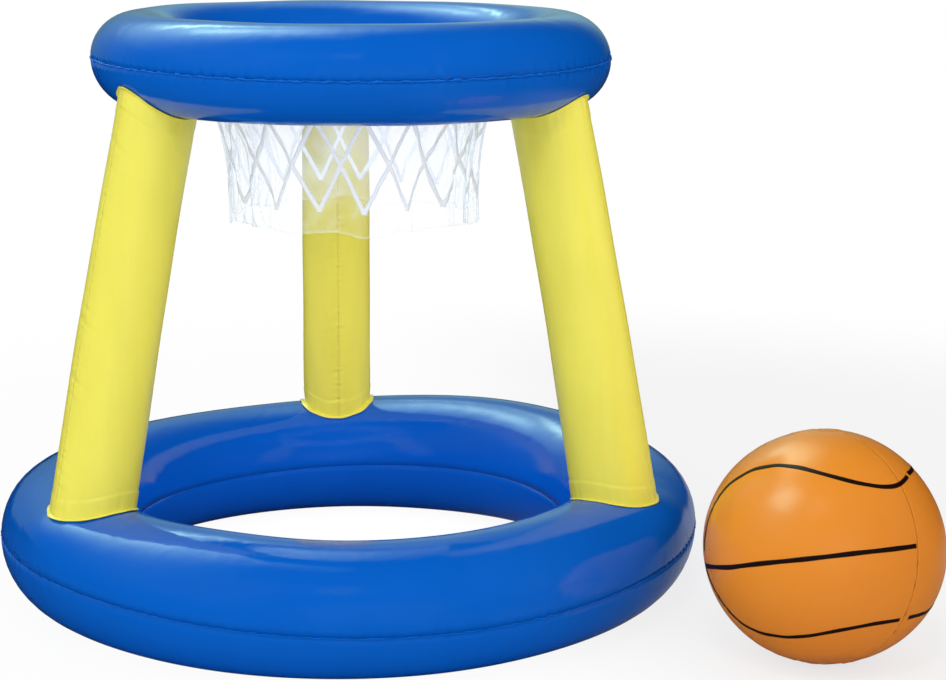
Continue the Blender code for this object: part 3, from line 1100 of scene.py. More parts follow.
    def relief(self, angle: Array, share: Array, from_foot: Array, to_head: Array) -> Array:
        """Return how far the film stands out: collars, the two long welds and their puckers.

        Args:
            angle: round the leg, in radians.
            share: of the height, 0 to 1.
            from_foot, to_head: metres to both ends.

        Returns:
            Metres outward.
        """
        seam = self.foot_radius * np.minimum(np.abs(np.sin(angle)), 1)
        seam = np.where(np.abs(np.cos(angle)) < 0.5, self.foot_radius, seam)
        run = share * 8.0
        shared = Ripple(self.seed, 70, 150)(share * FULL_TURN / 2)
        own = Ripple(self.seed + 1, 30, 75)(share * FULL_TURN / 2 + np.sin(angle) * 0.1)
        total = self.pucker * shared * np.exp(-seam / self.pucker_reach)
        total -= self.dent * np.maximum(own - 0.4, 0) * np.exp(-seam / self.dent_reach)
        total -= self.groove * bell(seam, self.groove_width)
        total += 0.0002 * np.sin(run + 2 * angle) + 0.00015 * np.sin(2.3 * run - angle)
        for past in (from_foot - self.collar, to_head - self.collar):
            total += self.collar_rise * (1 - ease(past / self.collar_edge))
            total -= 0.0002 * bell(past - 0.0012, self.groove_width)
        end = np.minimum(from_foot, to_head)
        strain = self.strain * Ripple(self.seed + 2, 9, 34)(angle) * np.exp(-end / self.strain_reach)
        return total + strain * ease(end / 0.004)

    def build(self, finishes: Finishes) -> None:
        """Build the leg's two films and both flanges."""
        _, _, length = self.axes()
        marks = {"seam_around": lambda angle, share: share * length,
                 "seam_away": lambda angle, share: self.foot_radius * np.minimum(
                     np.abs(angle % math.pi), math.pi - np.abs(angle % math.pi))}
        gap = WELD_GAP / self.foot_radius
        for half in range(2):
            piece = Piece(f"{self.name}_panel_{half + 1}", Body.HOOP, finishes.yellow)
            span = (half * math.pi + gap, (half + 1) * math.pi - gap)
            piece.surface(Grid(span, (0.0, 1.0), 84, 260), self.film(), marks)
        self.build_flange("foot", self.base, False, finishes)
        self.build_flange("head", self.rim, True, finishes)

    def build_flange(self, label: str, ring: Ring, from_head: bool, finishes: Finishes) -> None:
        """Build one flange: a thin round lip that lies on the ring's film.

        Args:
            label: foot or head.
            ring: the ring that it lies on.
            from_head: whether that is the rim.
            finishes: the set's finishes.
        """
        bore, top = min(self.neck_radius, self.head_radius) - 0.002, self.flange_thickness
        rim = self.flange_radius - (self.foot_radius - self.head_radius if from_head else 0)
        radii = (bore, rim - 0.0004, rim, rim, rim - 0.0005, bore + 0.001, bore, bore)
        rises = (0.0, 0.0, top * 0.3, top * 0.7, top, top, top * 0.8, 0.0)
        shares = np.linspace(0, 1, len(radii))
        hold = (self.head_radius if from_head else self.foot_radius) + 0.0008

        def place(angle: Array, share: Array, offset: float) -> Array:
            """Lay the lip on the ring's film.

            Args:
                angle: round the leg, in radians.
                share: round the lip's section.
                offset: metres outward from the film's outer face.

            Returns:
                Row-frame points, one row each.
            """
            middle = (bore + rim) / 2
            radius, rise = np.interp(share, shares, radii), np.interp(share, shares, rises)
            corner = 0 * angle if from_head else self.corners(angle)
            swing = 0.0003 * Ripple(self.seed + 11, 6, 14)(angle)
            lobe = self.flange_lobe * bell(wrapped(angle) * middle, 0.011) - 0.0008 * np.cos(angle) ** 2
            width = np.where(radius > bore + 0.003, swing + lobe + corner, 0)
            radius = radius + width + offset * np.sign(radius - middle)
            height = self.contact(np.minimum(radius, hold + corner), angle, ring, from_head)
            upward = rise + 0.0003 + offset * (rise > top / 2)
            return self.at(radius, angle, height + (-upward if from_head else upward))

        piece = Piece(f"{self.name}_{label}_flange", Body.HOOP, finishes.yellow, wall=0)
        marks = {"seam_around": lambda angle, share: angle * rim,
                 "seam_away": lambda angle, share: 0.02 + 0 * share}
        piece.surface(Grid((0, FULL_TURN), (0, 1), 240, len(radii) - 1), place, marks)


# Net

@dataclass(frozen=True)
class Net:
    """A clear sleeve that hangs from the rim's inner weld, with white diamonds printed on it.

    Fields:
        top_drop: how far its top hangs under the rim's middle.
        row_height: height of a row of diamonds.
        taper, flare_power: how much narrower its hem is, and how soon it narrows.
        stroke: width of the printed lines.
        hanging, soft, fine, sharp: heights of its folds, from the widest to the finest.
        flat_height: height of the film before it is welded into the band.
    """

    rim: Ring
    top_drop: float = 0.0041
    length: float = 0.1463
    row_height: float = 0.0418
    mouth_radius: float = 0.1500
    taper: float = 0.0325
    flare_power: float = 2.7
    diamonds: int = 18
    rows: int = 4
    stroke: float = 0.0040
    flat_height: float = 0.152
    hanging: float = 0.0030
    soft: float = 0.0011
    fine: float = 0.00045
    sharp: float = 0.0012
    ragged_hem: float = 0.0022
    twist: float = 0.004
    slip_degrees: tuple[float, float] = (4.5, 2.8)
    seed: int = 41

    def folds(self, around: Array, drop: Array) -> Array:
        """Return how far the film stands out of the plain sleeve: hanging folds and creases.

        Args:
            around: angle round the rim, in radians.
            drop: share of the way down, 0 to 1.

        Returns:
            Metres outward.
        """
        wide = self.hanging * drop * np.cos(9 * around)
        middle = self.soft * Ripple(self.seed, 14, 34)(around + 0.05 * drop) * (0.35 + 0.65 * drop)
        narrow = self.fine * Ripple(self.seed + 1, 40, 90)(around + 0.04 * np.sin(5 * drop))
        narrow = narrow * (0.7 + 0.3 * drop)
        ridge = Ripple(self.seed + 2, 16, 30)(around - 0.12 * drop)
        return (wide + middle + narrow - self.sharp * np.maximum(ridge - 0.6, 0)) * ease(drop / 0.12)

    def crease(self, around: Array, drop: Array) -> Array:
        """Return a mask of the sharp creases, where the film looks milky.

        Args:
            around: angle round the rim, in radians.
            drop: share of the way down, 0 to 1.

        Returns:
            Numbers from 0 to 1.
        """
        ridge = np.abs(Ripple(self.seed + 3, 18, 44)(around - 0.2 * drop + 0.04 * np.sin(9 * drop)))
        other = np.abs(Ripple(self.seed + 4, 26, 60)(around + 0.25 * drop))
        hem = bell((1 - drop) * self.length, 0.0016)
        fade = 0.4 + 0.6 * ease(np.abs(Ripple(self.seed + 5, 3, 9)(around + drop)))
        sides = 0.10 + 0.90 * self.sides(around)
        broad = 0.24 * bell(Ripple(self.seed + 8, 12, 26)(around - 0.1 * drop), 0.32) * self.sides(around)
        lines = bell(ridge, 0.11) * fade + 0.6 * bell(other, 0.08) * fade
        return np.clip(lines * sides + broad + 0.25 * hem, 0, 1)

    @staticmethod
    def sides(around: Array) -> Array:
        """Return 1 where the film turns away to the left and right, 0 in front and behind."""
        return ease((np.abs(np.cos(around)) - 0.50) / 0.35)

    def veil(self, around: Array, drop: Array) -> Array:
        """Return how milky the plain film is: thinner towards the hem, denser at the sides.

        Args:
            around: angle round the rim, in radians.
            drop: share of the way down, 0 to 1.

        Returns:
            Factors for the film's cover.
        """
        cloud = 1 + 0.25 * Ripple(self.seed + 10, 5, 22)(around + 0.3 * drop)
        thinned = 1 - 0.72 * ease((drop - 0.60) / 0.32) * (1 - 0.6 * self.sides(around))
        return np.clip(cloud, 0.5, 1.5) * thinned

    @staticmethod
    def whiteness(around: Array, drop: Array) -> Array:
        """Return how white the film is: it brightens below the rim's shade."""
        return ease((drop - 0.30) / 0.40) + 0 * around

    def point(self, around: Array, drop: Array, offset: float = 0.0) -> Array:
        """Return row-frame points from the angle and the share of the way down.

        Args:
            around: angle round the rim, in radians.
            drop: share of the way down, 0 to 1.
            offset: metres outward from the film's outer face.

        Returns:
            Row-frame points, one row each.
        """
        share = np.clip(1 - drop, 0, 1)
        radius = self.mouth_radius - self.taper * (1 - share ** self.flare_power)
        radius = radius + self.folds(around, drop) + offset
        ragged = self.ragged_hem * Ripple(self.seed + 6, 3, 16)(around) * drop ** 5
        twist = self.twist * Ripple(self.seed + 7, 5, 14)(around) * drop
        sway, shift = self.slip_degrees
        slip = math.radians(sway) * np.cos(around + math.pi / 2) - math.radians(shift)
        turned = around + twist / radius * 0.5 + slip
        height = ragged - self.top_drop - self.length * drop
        height = height - self.rim.lean * self.mouth_radius * np.cos(turned)
        return polar(self.rim.centre, radius, turned, height)

    def build(self, finishes: Finishes) -> None:
        """Build the weld band, the sleeve and its printing."""
        self.build_band(finishes)
        piece = Piece("net_sleeve", Body.HOOP, finishes.clear, wall=0.0002)
        marks = {"crease": self.crease, "veil": self.veil, "whiteness": self.whiteness}
        sleeve = piece.surface(Grid((0, FULL_TURN), (0, 1), 720, 60), self.point, marks)
        lattice = self.build_print(finishes)

    def build_band(self, finishes: Finishes) -> None:
        """Build the band that holds the film to the rim."""
        outer = self.rim.circle_radius - self.rim.half_width
        radii = (outer, outer - 0.0012, outer - 0.0012, outer, outer)
        rises = (-0.006, -0.006, 0.006, 0.006, -0.006)
        shares = np.linspace(0, 1, 5)

        def place(around: Array, share: Array, offset: float) -> Array:
            """Lay the band inside the rim.

            Args:
                around: angle round the rim, in radians.
                share: round the band's section.
                offset: metres outward from the film's outer face.

            Returns:
                Row-frame points, one row each.
            """
            radius, rise = np.interp(share, shares, radii), np.interp(share, shares, rises)
            radius = radius - offset * np.where(radius < outer - 0.0006, 1, -1)
            radius = radius + 0.0002 * Ripple(self.seed + 9, 40, 90)(around) * (rise < 0)
            return polar(self.rim.centre, radius, around, rise)

        piece = Piece("net_weld_band", Body.HOOP, finishes.clear, wall=0)
        marks = {"crease": lambda around, share: 0.5 + 0 * share,
                 "veil": lambda around, share: 1 + 0 * share}
        piece.surface(Grid((0, FULL_TURN), (0, 1), 540, 12), place, marks)

    def build_print(self, finishes: Finishes) -> bpy.types.Object:
        """Build the printed diamonds: framed cells of a sheared grid, bent onto the film.

        Args:
            finishes: the set's finishes.

        Returns:
            The printed piece.
        """
        mean = self.mouth_radius - self.taper * 0.7
        width, height = FULL_TURN * mean, self.row_height
        work = bmesh.new()
        bmesh.ops.create_grid(work, x_segments=2 * self.diamonds, y_segments=self.rows, size=0.5)
        size = Matrix.Diagonal((width, self.rows * height, 1, 1))
        bmesh.ops.transform(work, matrix=size @ Matrix.Translation((0.5, -0.5, 0)), verts=work.verts)
        half = width / (2 * self.diamonds)
        place = {vert: (round(vert.co.x / half), round(-vert.co.y / height)) for vert in work.verts}
        plain = [edge for edge in work.edges if not edge.is_boundary]
        for face in list(work.faces):
            ends = [vert for vert in face.verts if sum(place[vert]) % 2 == 0]
            bmesh.utils.face_split(face, ends[0], ends[1])
        bmesh.ops.dissolve_edges(work, edges=plain)
        cells = list(work.faces)
        bmesh.ops.inset_individual(work, faces=cells, thickness=self.stroke / 2, use_even_offset=True)
        bmesh.ops.delete(work, geom=cells, context="FACES")
        low = (self.rows - 1) * height + 0.0012
        bmesh.ops.bisect_plane(work, geom=work.verts[:] + work.edges[:] + work.faces[:], dist=0.000001,
                               plane_co=(0, -low, 0), plane_no=(0, -1, 0), clear_outer=True)
        slanted = [edge for edge in work.edges if edge.calc_length() > 0.006]
        bmesh.ops.subdivide_edges(work, edges=slanted, cuts=23, use_grid_fill=True)
        piece = Piece("net_printed_lattice", Body.HOOP, finishes.white, wall=PRINT_WALL)
        mesh = mesh_from(work, piece.name)
        flat = points_of(mesh)
        set_points(mesh, self.point(flat[:, 0] / mean, -flat[:, 1] / self.length, 0.0004))
        close_up(mesh, 0.00003)
        face_outward(mesh, (points_of(mesh) - np.array(self.rim.centre)) * (1, 1, 0))
        return piece.add(mesh)


# Ball

@dataclass(frozen=True)
class Ball:
    """The small inflatable ball: three gores, two round patches and black printed lines.

    Fields:
        patch_degrees: from a pole to its patch's edge, under which the gores run on a little.
        swell, flatten: how far it stands out at its girth, and how far its poles sink in.
        bulges: (direction, rise) of its two soft bulges.
        lines: (longitude, latitude) corners in degrees about the ball's own axis.
    """

    centre: Vector = Vector((0.315981, -0.256144, 0.1025))
    radius: float = 0.1025
    gores: int = 3
    patch_degrees: float = 11.25
    patch_lap: float = 0.03
    swell: float = 0.0014
    flatten: float = 0.0005
    tilt: tuple[float, float, float] = (-15, -2, 65)
    line_width: float = 0.0040
    pucker: float = 0.00018
    pucker_reach: float = 0.003
    dent: float = 0.00028
    dent_reach: float = 0.012
    groove: float = 0.00016
    groove_width: float = 0.0014
    film_wave: float = 0.0002
    seed: int = 71
    bulges: tuple = (((0.90, -0.10, -0.42), 0.0032), ((-0.98, -0.10, 0.17), 0.0014))
    lines: tuple = (
        ((113.9, 1.4), (115.5, 9.1), (119.2, 23.2), (128.1, 34.9), (145.2, 43.4), (163.7, 45.3),
         (179.7, 42.8), (195.1, 37.5), (212.0, 31.6), (225.2, 28.6), (234.9, 28.3), (243.3, 30.7),
         (250.7, 33.5)),
        ((253.6, 34.8), (266.0, 37.0), (281.0, 40.0), (300.0, 41.5)),
        ((112.0, -5.9), (140.6, -6.0), (160.9, -4.3), (184.3, -3.0), (206.2, -1.7), (238.7, -0.7)),
        ((112.5, -4.0), (112.5, -8.6), (116.5, -16.4), (121.5, -26.2), (128.6, -36.0),
         (143.1, -42.2), (162.2, -44.8), (178.0, -43.9), (198.3, -40.7), (217.7, -38.3),
         (236.7, -37.4)),
        ((244.2, -36.7), (264.4, -35.2), (275.8, -32.3), (300.0, -30.0)))

    def turned(self) -> Array:
        """Return the ball's own axes as columns."""
        back, side, turn = (math.radians(part) for part in self.tilt)
        return np.array(Euler((back, side, 0)).to_matrix() @ Matrix.Rotation(turn, 3, "Z"))

    def seam_away(self, longitude: Array, latitude: Array) -> Array:
        """Return the distance along the film to the nearest seam between two gores."""
        span = FULL_TURN / self.gores
        return np.abs((longitude + span / 2) % span - span / 2) * np.cos(latitude) * self.radius

    def lift(self, longitude: Array, latitude: Array) -> Array:
        """Return how far the film stands out of the plain ball, by the seams and soft waves.

        Args:
            longitude, latitude: angles about the ball's own axis, in radians.

        Returns:
            Metres outward.
        """
        gap, run = self.seam_away(longitude, latitude), latitude * 2
        puckers = self.pucker * Ripple(self.seed, 28, 60)(run) * np.exp(-gap / self.pucker_reach)
        side = np.sign(np.sin(1.5 * longitude)) * 0.7
        own = np.maximum(Ripple(self.seed + 1, 14, 30)(run + side) - 0.3, 0)
        dents = self.dent * own * np.exp(-gap / self.dent_reach) + self.groove * bell(gap, self.groove_width)
        return puckers - dents + self.film_wave * np.sin(3 * longitude + 4 * latitude)

    def point(self, longitude: Array, latitude: Array, offset: Array | float = 0.0) -> Array:
        """Return row-frame points from longitude and latitude in radians.

        Args:
            longitude, latitude: angles about the ball's own axis, in radians.
            offset: metres outward from the film's outer face.

        Returns:
            Row-frame points, one row each.
        """
        local = np.stack((np.cos(latitude) * np.cos(longitude), np.cos(latitude) * np.sin(longitude),
                          np.sin(latitude)), axis=1)
        world = local @ self.turned().T
        reach = self.radius + self.lift(longitude, latitude) + offset + self.swell * np.cos(latitude) ** 2
        for way, most in self.bulges:
            reach = reach + most * np.clip(world @ np.array(way), 0, 1) ** 4
        reach = reach - self.flatten * np.sin(latitude) ** 16
        return np.array(self.centre) + world * reach[:, None]

    def lay(self, points: Array, rise: Array) -> Array:
        """Lay points near the film on it, with a rise.

        Args:
            points: row-frame points.
            rise: metres outward for each.

        Returns:
            Row-frame points, one row each.
        """
        local = (points - np.array(self.centre)) @ self.turned()
        longitude = np.arctan2(local[:, 1], local[:, 0]) % FULL_TURN
        return self.point(longitude, np.arctan2(local[:, 2], np.hypot(local[:, 0], local[:, 1])), rise)

    def patch_rise(self, latitude: Array) -> Array:
        """Return how far a patch stands out of the gores, thinned towards its edge."""
        edge = math.radians(90 - self.patch_degrees) - self.patch_lap
        return 0.00015 + 0.0003 * ease(self.radius * (np.abs(latitude) - edge) / 0.004)

    def build(self, finishes: Finishes, trim: Callable) -> None:
        """Build the gores, patches and printed lines.

        Args:
            finishes: the set's finishes.
            trim: picks the points that the valve's hole takes away.
        """
        span, edge = FULL_TURN / self.gores, math.radians(90 - self.patch_degrees)
        marks = {"seam_around": lambda longitude, latitude: latitude * self.radius,
                 "seam_away": self.seam_away}
        for number in range(self.gores):
            piece = Piece(f"ball_gore_{number + 1}", Body.BALL, finishes.orange)
            start = number * span
            grid = Grid((start + 0.0002, start + span - 0.0002), (-edge, edge), 110, 120)
            piece.surface(grid, self.point, marks, trim if number == 0 else None)
        low = edge - self.patch_lap
        marks = {"seam_around": lambda longitude, latitude: longitude * 0.02,
                 "seam_away": lambda longitude, latitude: self.radius * np.abs(np.abs(latitude) - low)}
        for label, side in (("top", 1), ("bottom", -1)):
            piece = Piece(f"ball_{label}_patch", Body.BALL, finishes.orange)
            cap = Grid((0, FULL_TURN), (side * low, side * math.pi / 2), 96, 16)
            piece.surface(cap, lambda a, b, o: self.point(a, b, o + self.patch_rise(b)), marks)
        for number, corners in enumerate(self.lines):
            self.build_line(number, corners, finishes)

    @staticmethod
    def smooth_path(corners: tuple) -> Array:
        """Return a smooth path through corners, as rows of longitude and latitude in radians.

        Args:
            corners: longitude and latitude in degrees.

        Returns:
            The corners joined by even steps, then averaged over a short window.
        """
        knots = np.radians(np.array(corners))
        steps = np.concatenate(([0], np.cumsum(np.hypot(*np.diff(knots, axis=0).T))))
        dense = np.linspace(0, steps[-1], 400)
        path = np.stack([np.interp(dense, steps, knots[:, k]) for k in range(2)], axis=1)
        window, side = np.hanning(41), 20
        before = 2 * path[:1] - path[1:side + 1][::-1]
        after = 2 * path[-1:] - path[-side - 1:-1][::-1]
        padded = np.concatenate((before, path, after))
        window /= window.sum()
        return np.stack([np.convolve(padded[:, k], window, "valid") for k in range(2)], axis=1)

    def build_line(self, number: int, corners: tuple, finishes: Finishes) -> None:
        """Build one printed line along a smooth path through its corners.

        Args:
            number: the line's number from 0.
            corners: see smooth_path.
            finishes: the set's finishes.
        """
        path = self.smooth_path(corners)
        ahead = np.gradient(path, axis=0)
        ahead[:, 0] *= np.cos(path[:, 1])
        ahead /= np.hypot(ahead[:, 0], ahead[:, 1])[:, None]
        keys = np.linspace(0, 1, len(path))
        half = self.line_width / 2 / self.radius

        def place(share: Array, side: Array, offset: float) -> Array:
            """Lay the line on the film.

            Args:
                share: of the line's length.
                side: -1 to 1 across it.
                offset: metres outward from the film's outer face.

            Returns:
                Row-frame points, one row each.
            """
            middle = [np.interp(share, keys, path[:, k]) for k in range(2)]
            way = [np.interp(share, keys, ahead[:, k]) for k in range(2)]
            wide = half * side * (1 + 0.06 * np.sin(share * 37))
            latitude = middle[1] + wide * way[0]
            longitude = middle[0] - wide * way[1] / np.cos(middle[1])
            return self.point(longitude, latitude, 0.00022 + offset)

        piece = Piece(f"ball_line_{number + 1}", Body.BALL, finishes.black, wall=PRINT_WALL, in_cad=False)
        piece.surface(Grid((0, 1), (-1, 1), 200, 4), place)


# Valves

@dataclass(frozen=True)
class Valve:
    """A push-in valve: flanged stem, hinged stopper and check flap, at a CAD valve's place.

    Fields:
        hinge: the stopper's hinge point.
        outward, side: the valve's own Z and Y in the row frame.
        lay: lays points on the film with a rise.
        skirt: how far the tube reaches inside the film.
    """

    name: str
    body: Body
    hinge: Vector
    outward: Vector
    side: Vector
    lay: Callable[[Array, Array], Array]
    flange_radius: float = 0.009
    stem_radius: float = 0.0050
    bore_radius: float = 0.0034
    stem_height: float = 0.0055
    lip_radius: float = 0.0060
    skirt: float = 0.0055
    plug_play: float = 0.0003
    strap: float = 0.0025
    strap_width: float = 0.0040
    flap_radius: float = 0.0045
    flap_thickness: float = 0.0006

    def matrix(self) -> Matrix:
        """Return the valve's place, its origin on the CAD facet under the stem.

        Returns:
            The matrix from the valve's own space to the row frame.
        """
        rise = self.side.cross(self.outward)
        turned = Matrix((rise, self.side, self.outward)).transposed().to_4x4()
        origin = self.hinge + rise * (self.lip_radius + self.strap) - self.outward * self.stem_height
        return Matrix.Translation(origin) @ turned

    def trim(self, points: Array) -> Array:
        """Pick the film's points that lie inside the stem.

        Args:
            points: row-frame points.

        Returns:
            True for those.
        """
        inverse = np.array(self.matrix().inverted())
        local = points @ inverse[:3, :3].T + inverse[:3, 3]
        within = np.hypot(local[:, 0], local[:, 1]) < self.stem_radius - 0.0004
        return within & (np.abs(local[:, 2]) < 0.01)

    def build(self, finishes: Finishes) -> None:
        """Build the stem, the stopper and the flap."""
        self.build_stem(finishes)
        self.build_stopper(finishes)
        self.build_flap(finishes)

    def moving(self, label: str) -> Body:
        """Return the body of the valve's stopper or flap."""
        return Body(f"{self.name.removesuffix('_valve')}_{label}")

    def finish(self, work: bmesh.types.BMesh, label: str, body: Body, finishes: Finishes) -> None:
        """Put a piece that was made about the valve's own axis in its place.

        Args:
            work: the shape, which is freed.
            label: the piece's last word.
            body: what carries it.
            finishes: the set's finishes.
        """
        piece = Piece(f"{self.name}_{label}", body, finishes.valve, wall=0)
        mesh = mesh_from(work, piece.name)
        mesh.transform(self.matrix())
        piece.add(mesh)

    def build_stem(self, finishes: Finishes) -> None:
        """Build the tube with its lip and skirt, and the flange welded to the film."""
        top, stem = self.stem_height, self.stem_radius
        profile = [(self.lip_radius, top), (self.lip_radius, top - 0.0012), (stem, top - 0.0020),
                   (stem, 0.0028), (stem + 0.0008, 0.0016), (stem, 0.0004), (stem, -self.skirt),
                   (self.bore_radius, -self.skirt), (self.bore_radius, top)]
        self.finish(spun(profile, True, 0.00022), "stem", self.body, finishes)
        matrix = np.array(self.matrix())
        radii = (stem - 0.0002, self.flange_radius - 0.0003, self.flange_radius,
                 self.flange_radius - 0.0004, stem - 0.0002)
        rises = (0.0, 0.0, 0.0004, 0.0009, 0.0010)
        keys = np.linspace(0, 1, len(radii))

        def place(angle: Array, share: Array, offset: float) -> Array:
            """Lay the flange on the film.

            Args:
                angle: round the stem, in radians.
                share: round the lip's section.
                offset: metres outward from the film's outer face.

            Returns:
                Row-frame points, one row each.
            """
            radius, rise = np.interp(share, keys, radii), np.interp(share, keys, rises)
            local = (radius * np.cos(angle), radius * np.sin(angle), np.zeros_like(angle))
            world = np.stack(local, axis=1) @ matrix[:3, :3].T + matrix[:3, 3]
            return self.lay(world, rise + 0.0001 + offset * (share > 0.4))

        lip = Piece(f"{self.name}_weld", self.body, finishes.valve, wall=0, in_cad=False)
        lip.surface(Grid((0, FULL_TURN), (0, 1), 64, 8), place)

    def build_stopper(self, finishes: Finishes) -> None:
        """Build the plug, cap, strap and pull tab as one moulded piece."""
        low, high, plug = 0.0003, 0.0015, self.bore_radius - self.plug_play
        profile = [(0.0, high), (self.lip_radius, high), (self.lip_radius, low), (plug, low),
                   (plug, low - 0.001), (plug - 0.0008, low - 0.0030), (plug - 0.0012, low - 0.0043),
                   (0.0, low - 0.0043)]
        work = spun(profile, False, 0.00025)
        strap = (-self.lip_radius - self.strap, -0.0050, low, high - 0.0002)
        tab = (0.0050, 0.0090, low + 0.0001, high - 0.0001)
        for start, end, under, over in (strap, tab):
            made = bmesh.ops.create_cube(work, size=1)["verts"]
            size = Vector((end - start, self.strap_width, over - under))
            middle = Vector(((end + start) / 2, 0, (over + under) / 2))
            bmesh.ops.transform(work, matrix=Matrix.LocRotScale(middle, None, size), verts=made)
            round_edges(work, list({edge for vert in made for edge in vert.link_edges}), 0.0003)
        bmesh.ops.translate(work, vec=(0, 0, self.stem_height), verts=work.verts)
        self.finish(work, "stopper", self.moving("stopper"), finishes)

    def build_flap(self, finishes: Finishes) -> None:
        """Build the thin disc that closes the stem from inside."""
        work = bmesh.new()
        bmesh.ops.create_cone(work, cap_ends=True, segments=64, radius1=self.flap_radius,
                              radius2=self.flap_radius, depth=self.flap_thickness)
        bmesh.ops.translate(work, vec=(0, 0, -self.skirt - self.flap_thickness), verts=work.verts)
        round_edges(work, sharp_edges(work), 0.00015, 2)
        self.finish(work, "flap", self.moving("flap"), finishes)


# The studio

@dataclass(frozen=True)
class Camera:
    """The photo's camera, fitted to the outlines of both rings, the legs and the ball."""

    place: Vector = HOOP_AXIS + Vector((-0.1078, -2.1323, 0.6714))
    forward: Vector = Vector((0.10451, 0.97441, -0.19899))
    right: Vector = Vector((0.99429, -0.10670, -0.0003))
    lens: float = 85.78
    sensor: float = 36.0

    def build(self) -> None:
        """Set the scene's camera."""
        data = bpy.data.cameras.new("camera")
        data.lens, data.sensor_width = self.lens, self.sensor
        data.sensor_fit = "HORIZONTAL"
        data.clip_start, data.clip_end = 0.05, 100
        camera = bpy.data.objects.new("camera", data)
        bpy.context.scene.collection.objects.link(camera)
        forward = self.forward.normalized()
        up = self.right.cross(forward).normalized()
        right = forward.cross(up)
        turned = Matrix((right, up, -forward)).transposed().to_4x4()
        camera.matrix_world = Matrix.Translation(self.place) @ turned
        bpy.context.scene.camera = camera


@dataclass(frozen=True)
class Lamp:
    """A soft box: where it hangs seen from the set, its size and its strength.

    Fields:
        azimuth, elevation: degrees; azimuth 0 is the viewer's side, 90 the right.
        radiance: how bright its face is, where 1 is the white of the background.
        only: first letters of the pieces that it lights, where it doesn't light all.
    """

    name: str
    azimuth: float
    elevation: float
    distance: float
    width: float
    height: float
    radiance: float
    colour: tuple[float, float, float] = (1.0, 1.0, 1.0)
    mirrored: bool = False
    diffuse: float = 1.0
    aim: Vector = Vector((-0.05, 0.0, 0.25))
    only: str = ""

    def build(self) -> bpy.types.Object:
        """Hang the lamp so that it faces what it aims at.

        Returns:
            The lamp's object.
        """
        data = bpy.data.lights.new(self.name, "AREA")
        data.shape = "RECTANGLE"
        data.size, data.size_y = self.width, self.height
        data.energy = self.radiance * math.pi * self.width * self.height
        data.color = self.colour
        data.diffuse_factor = self.diffuse
        lamp = bpy.data.objects.new(self.name, data)
        bpy.context.scene.collection.objects.link(lamp)
        a, e = math.radians(self.azimuth), math.radians(self.elevation)
        way = Vector((math.sin(a) * math.cos(e), -math.cos(a) * math.cos(e), math.sin(e)))
        facing = way.to_track_quat("Z", "Y").to_matrix().to_4x4()
        lamp.matrix_world = Matrix.Translation(self.aim + way * self.distance) @ facing
        lamp.visible_glossy = self.mirrored
        lamp.visible_camera = False
        if self.only:
            lit = bpy.data.collections.new(f"{self.name}_lit")
            for piece in bpy.context.scene.objects:
                shown = piece.type == "MESH" and not piece.hide_render
                if shown and piece.name.startswith(self.only):
                    lit.objects.link(piece)
            lamp.light_linking.receiver_collection = lit
        return lamp


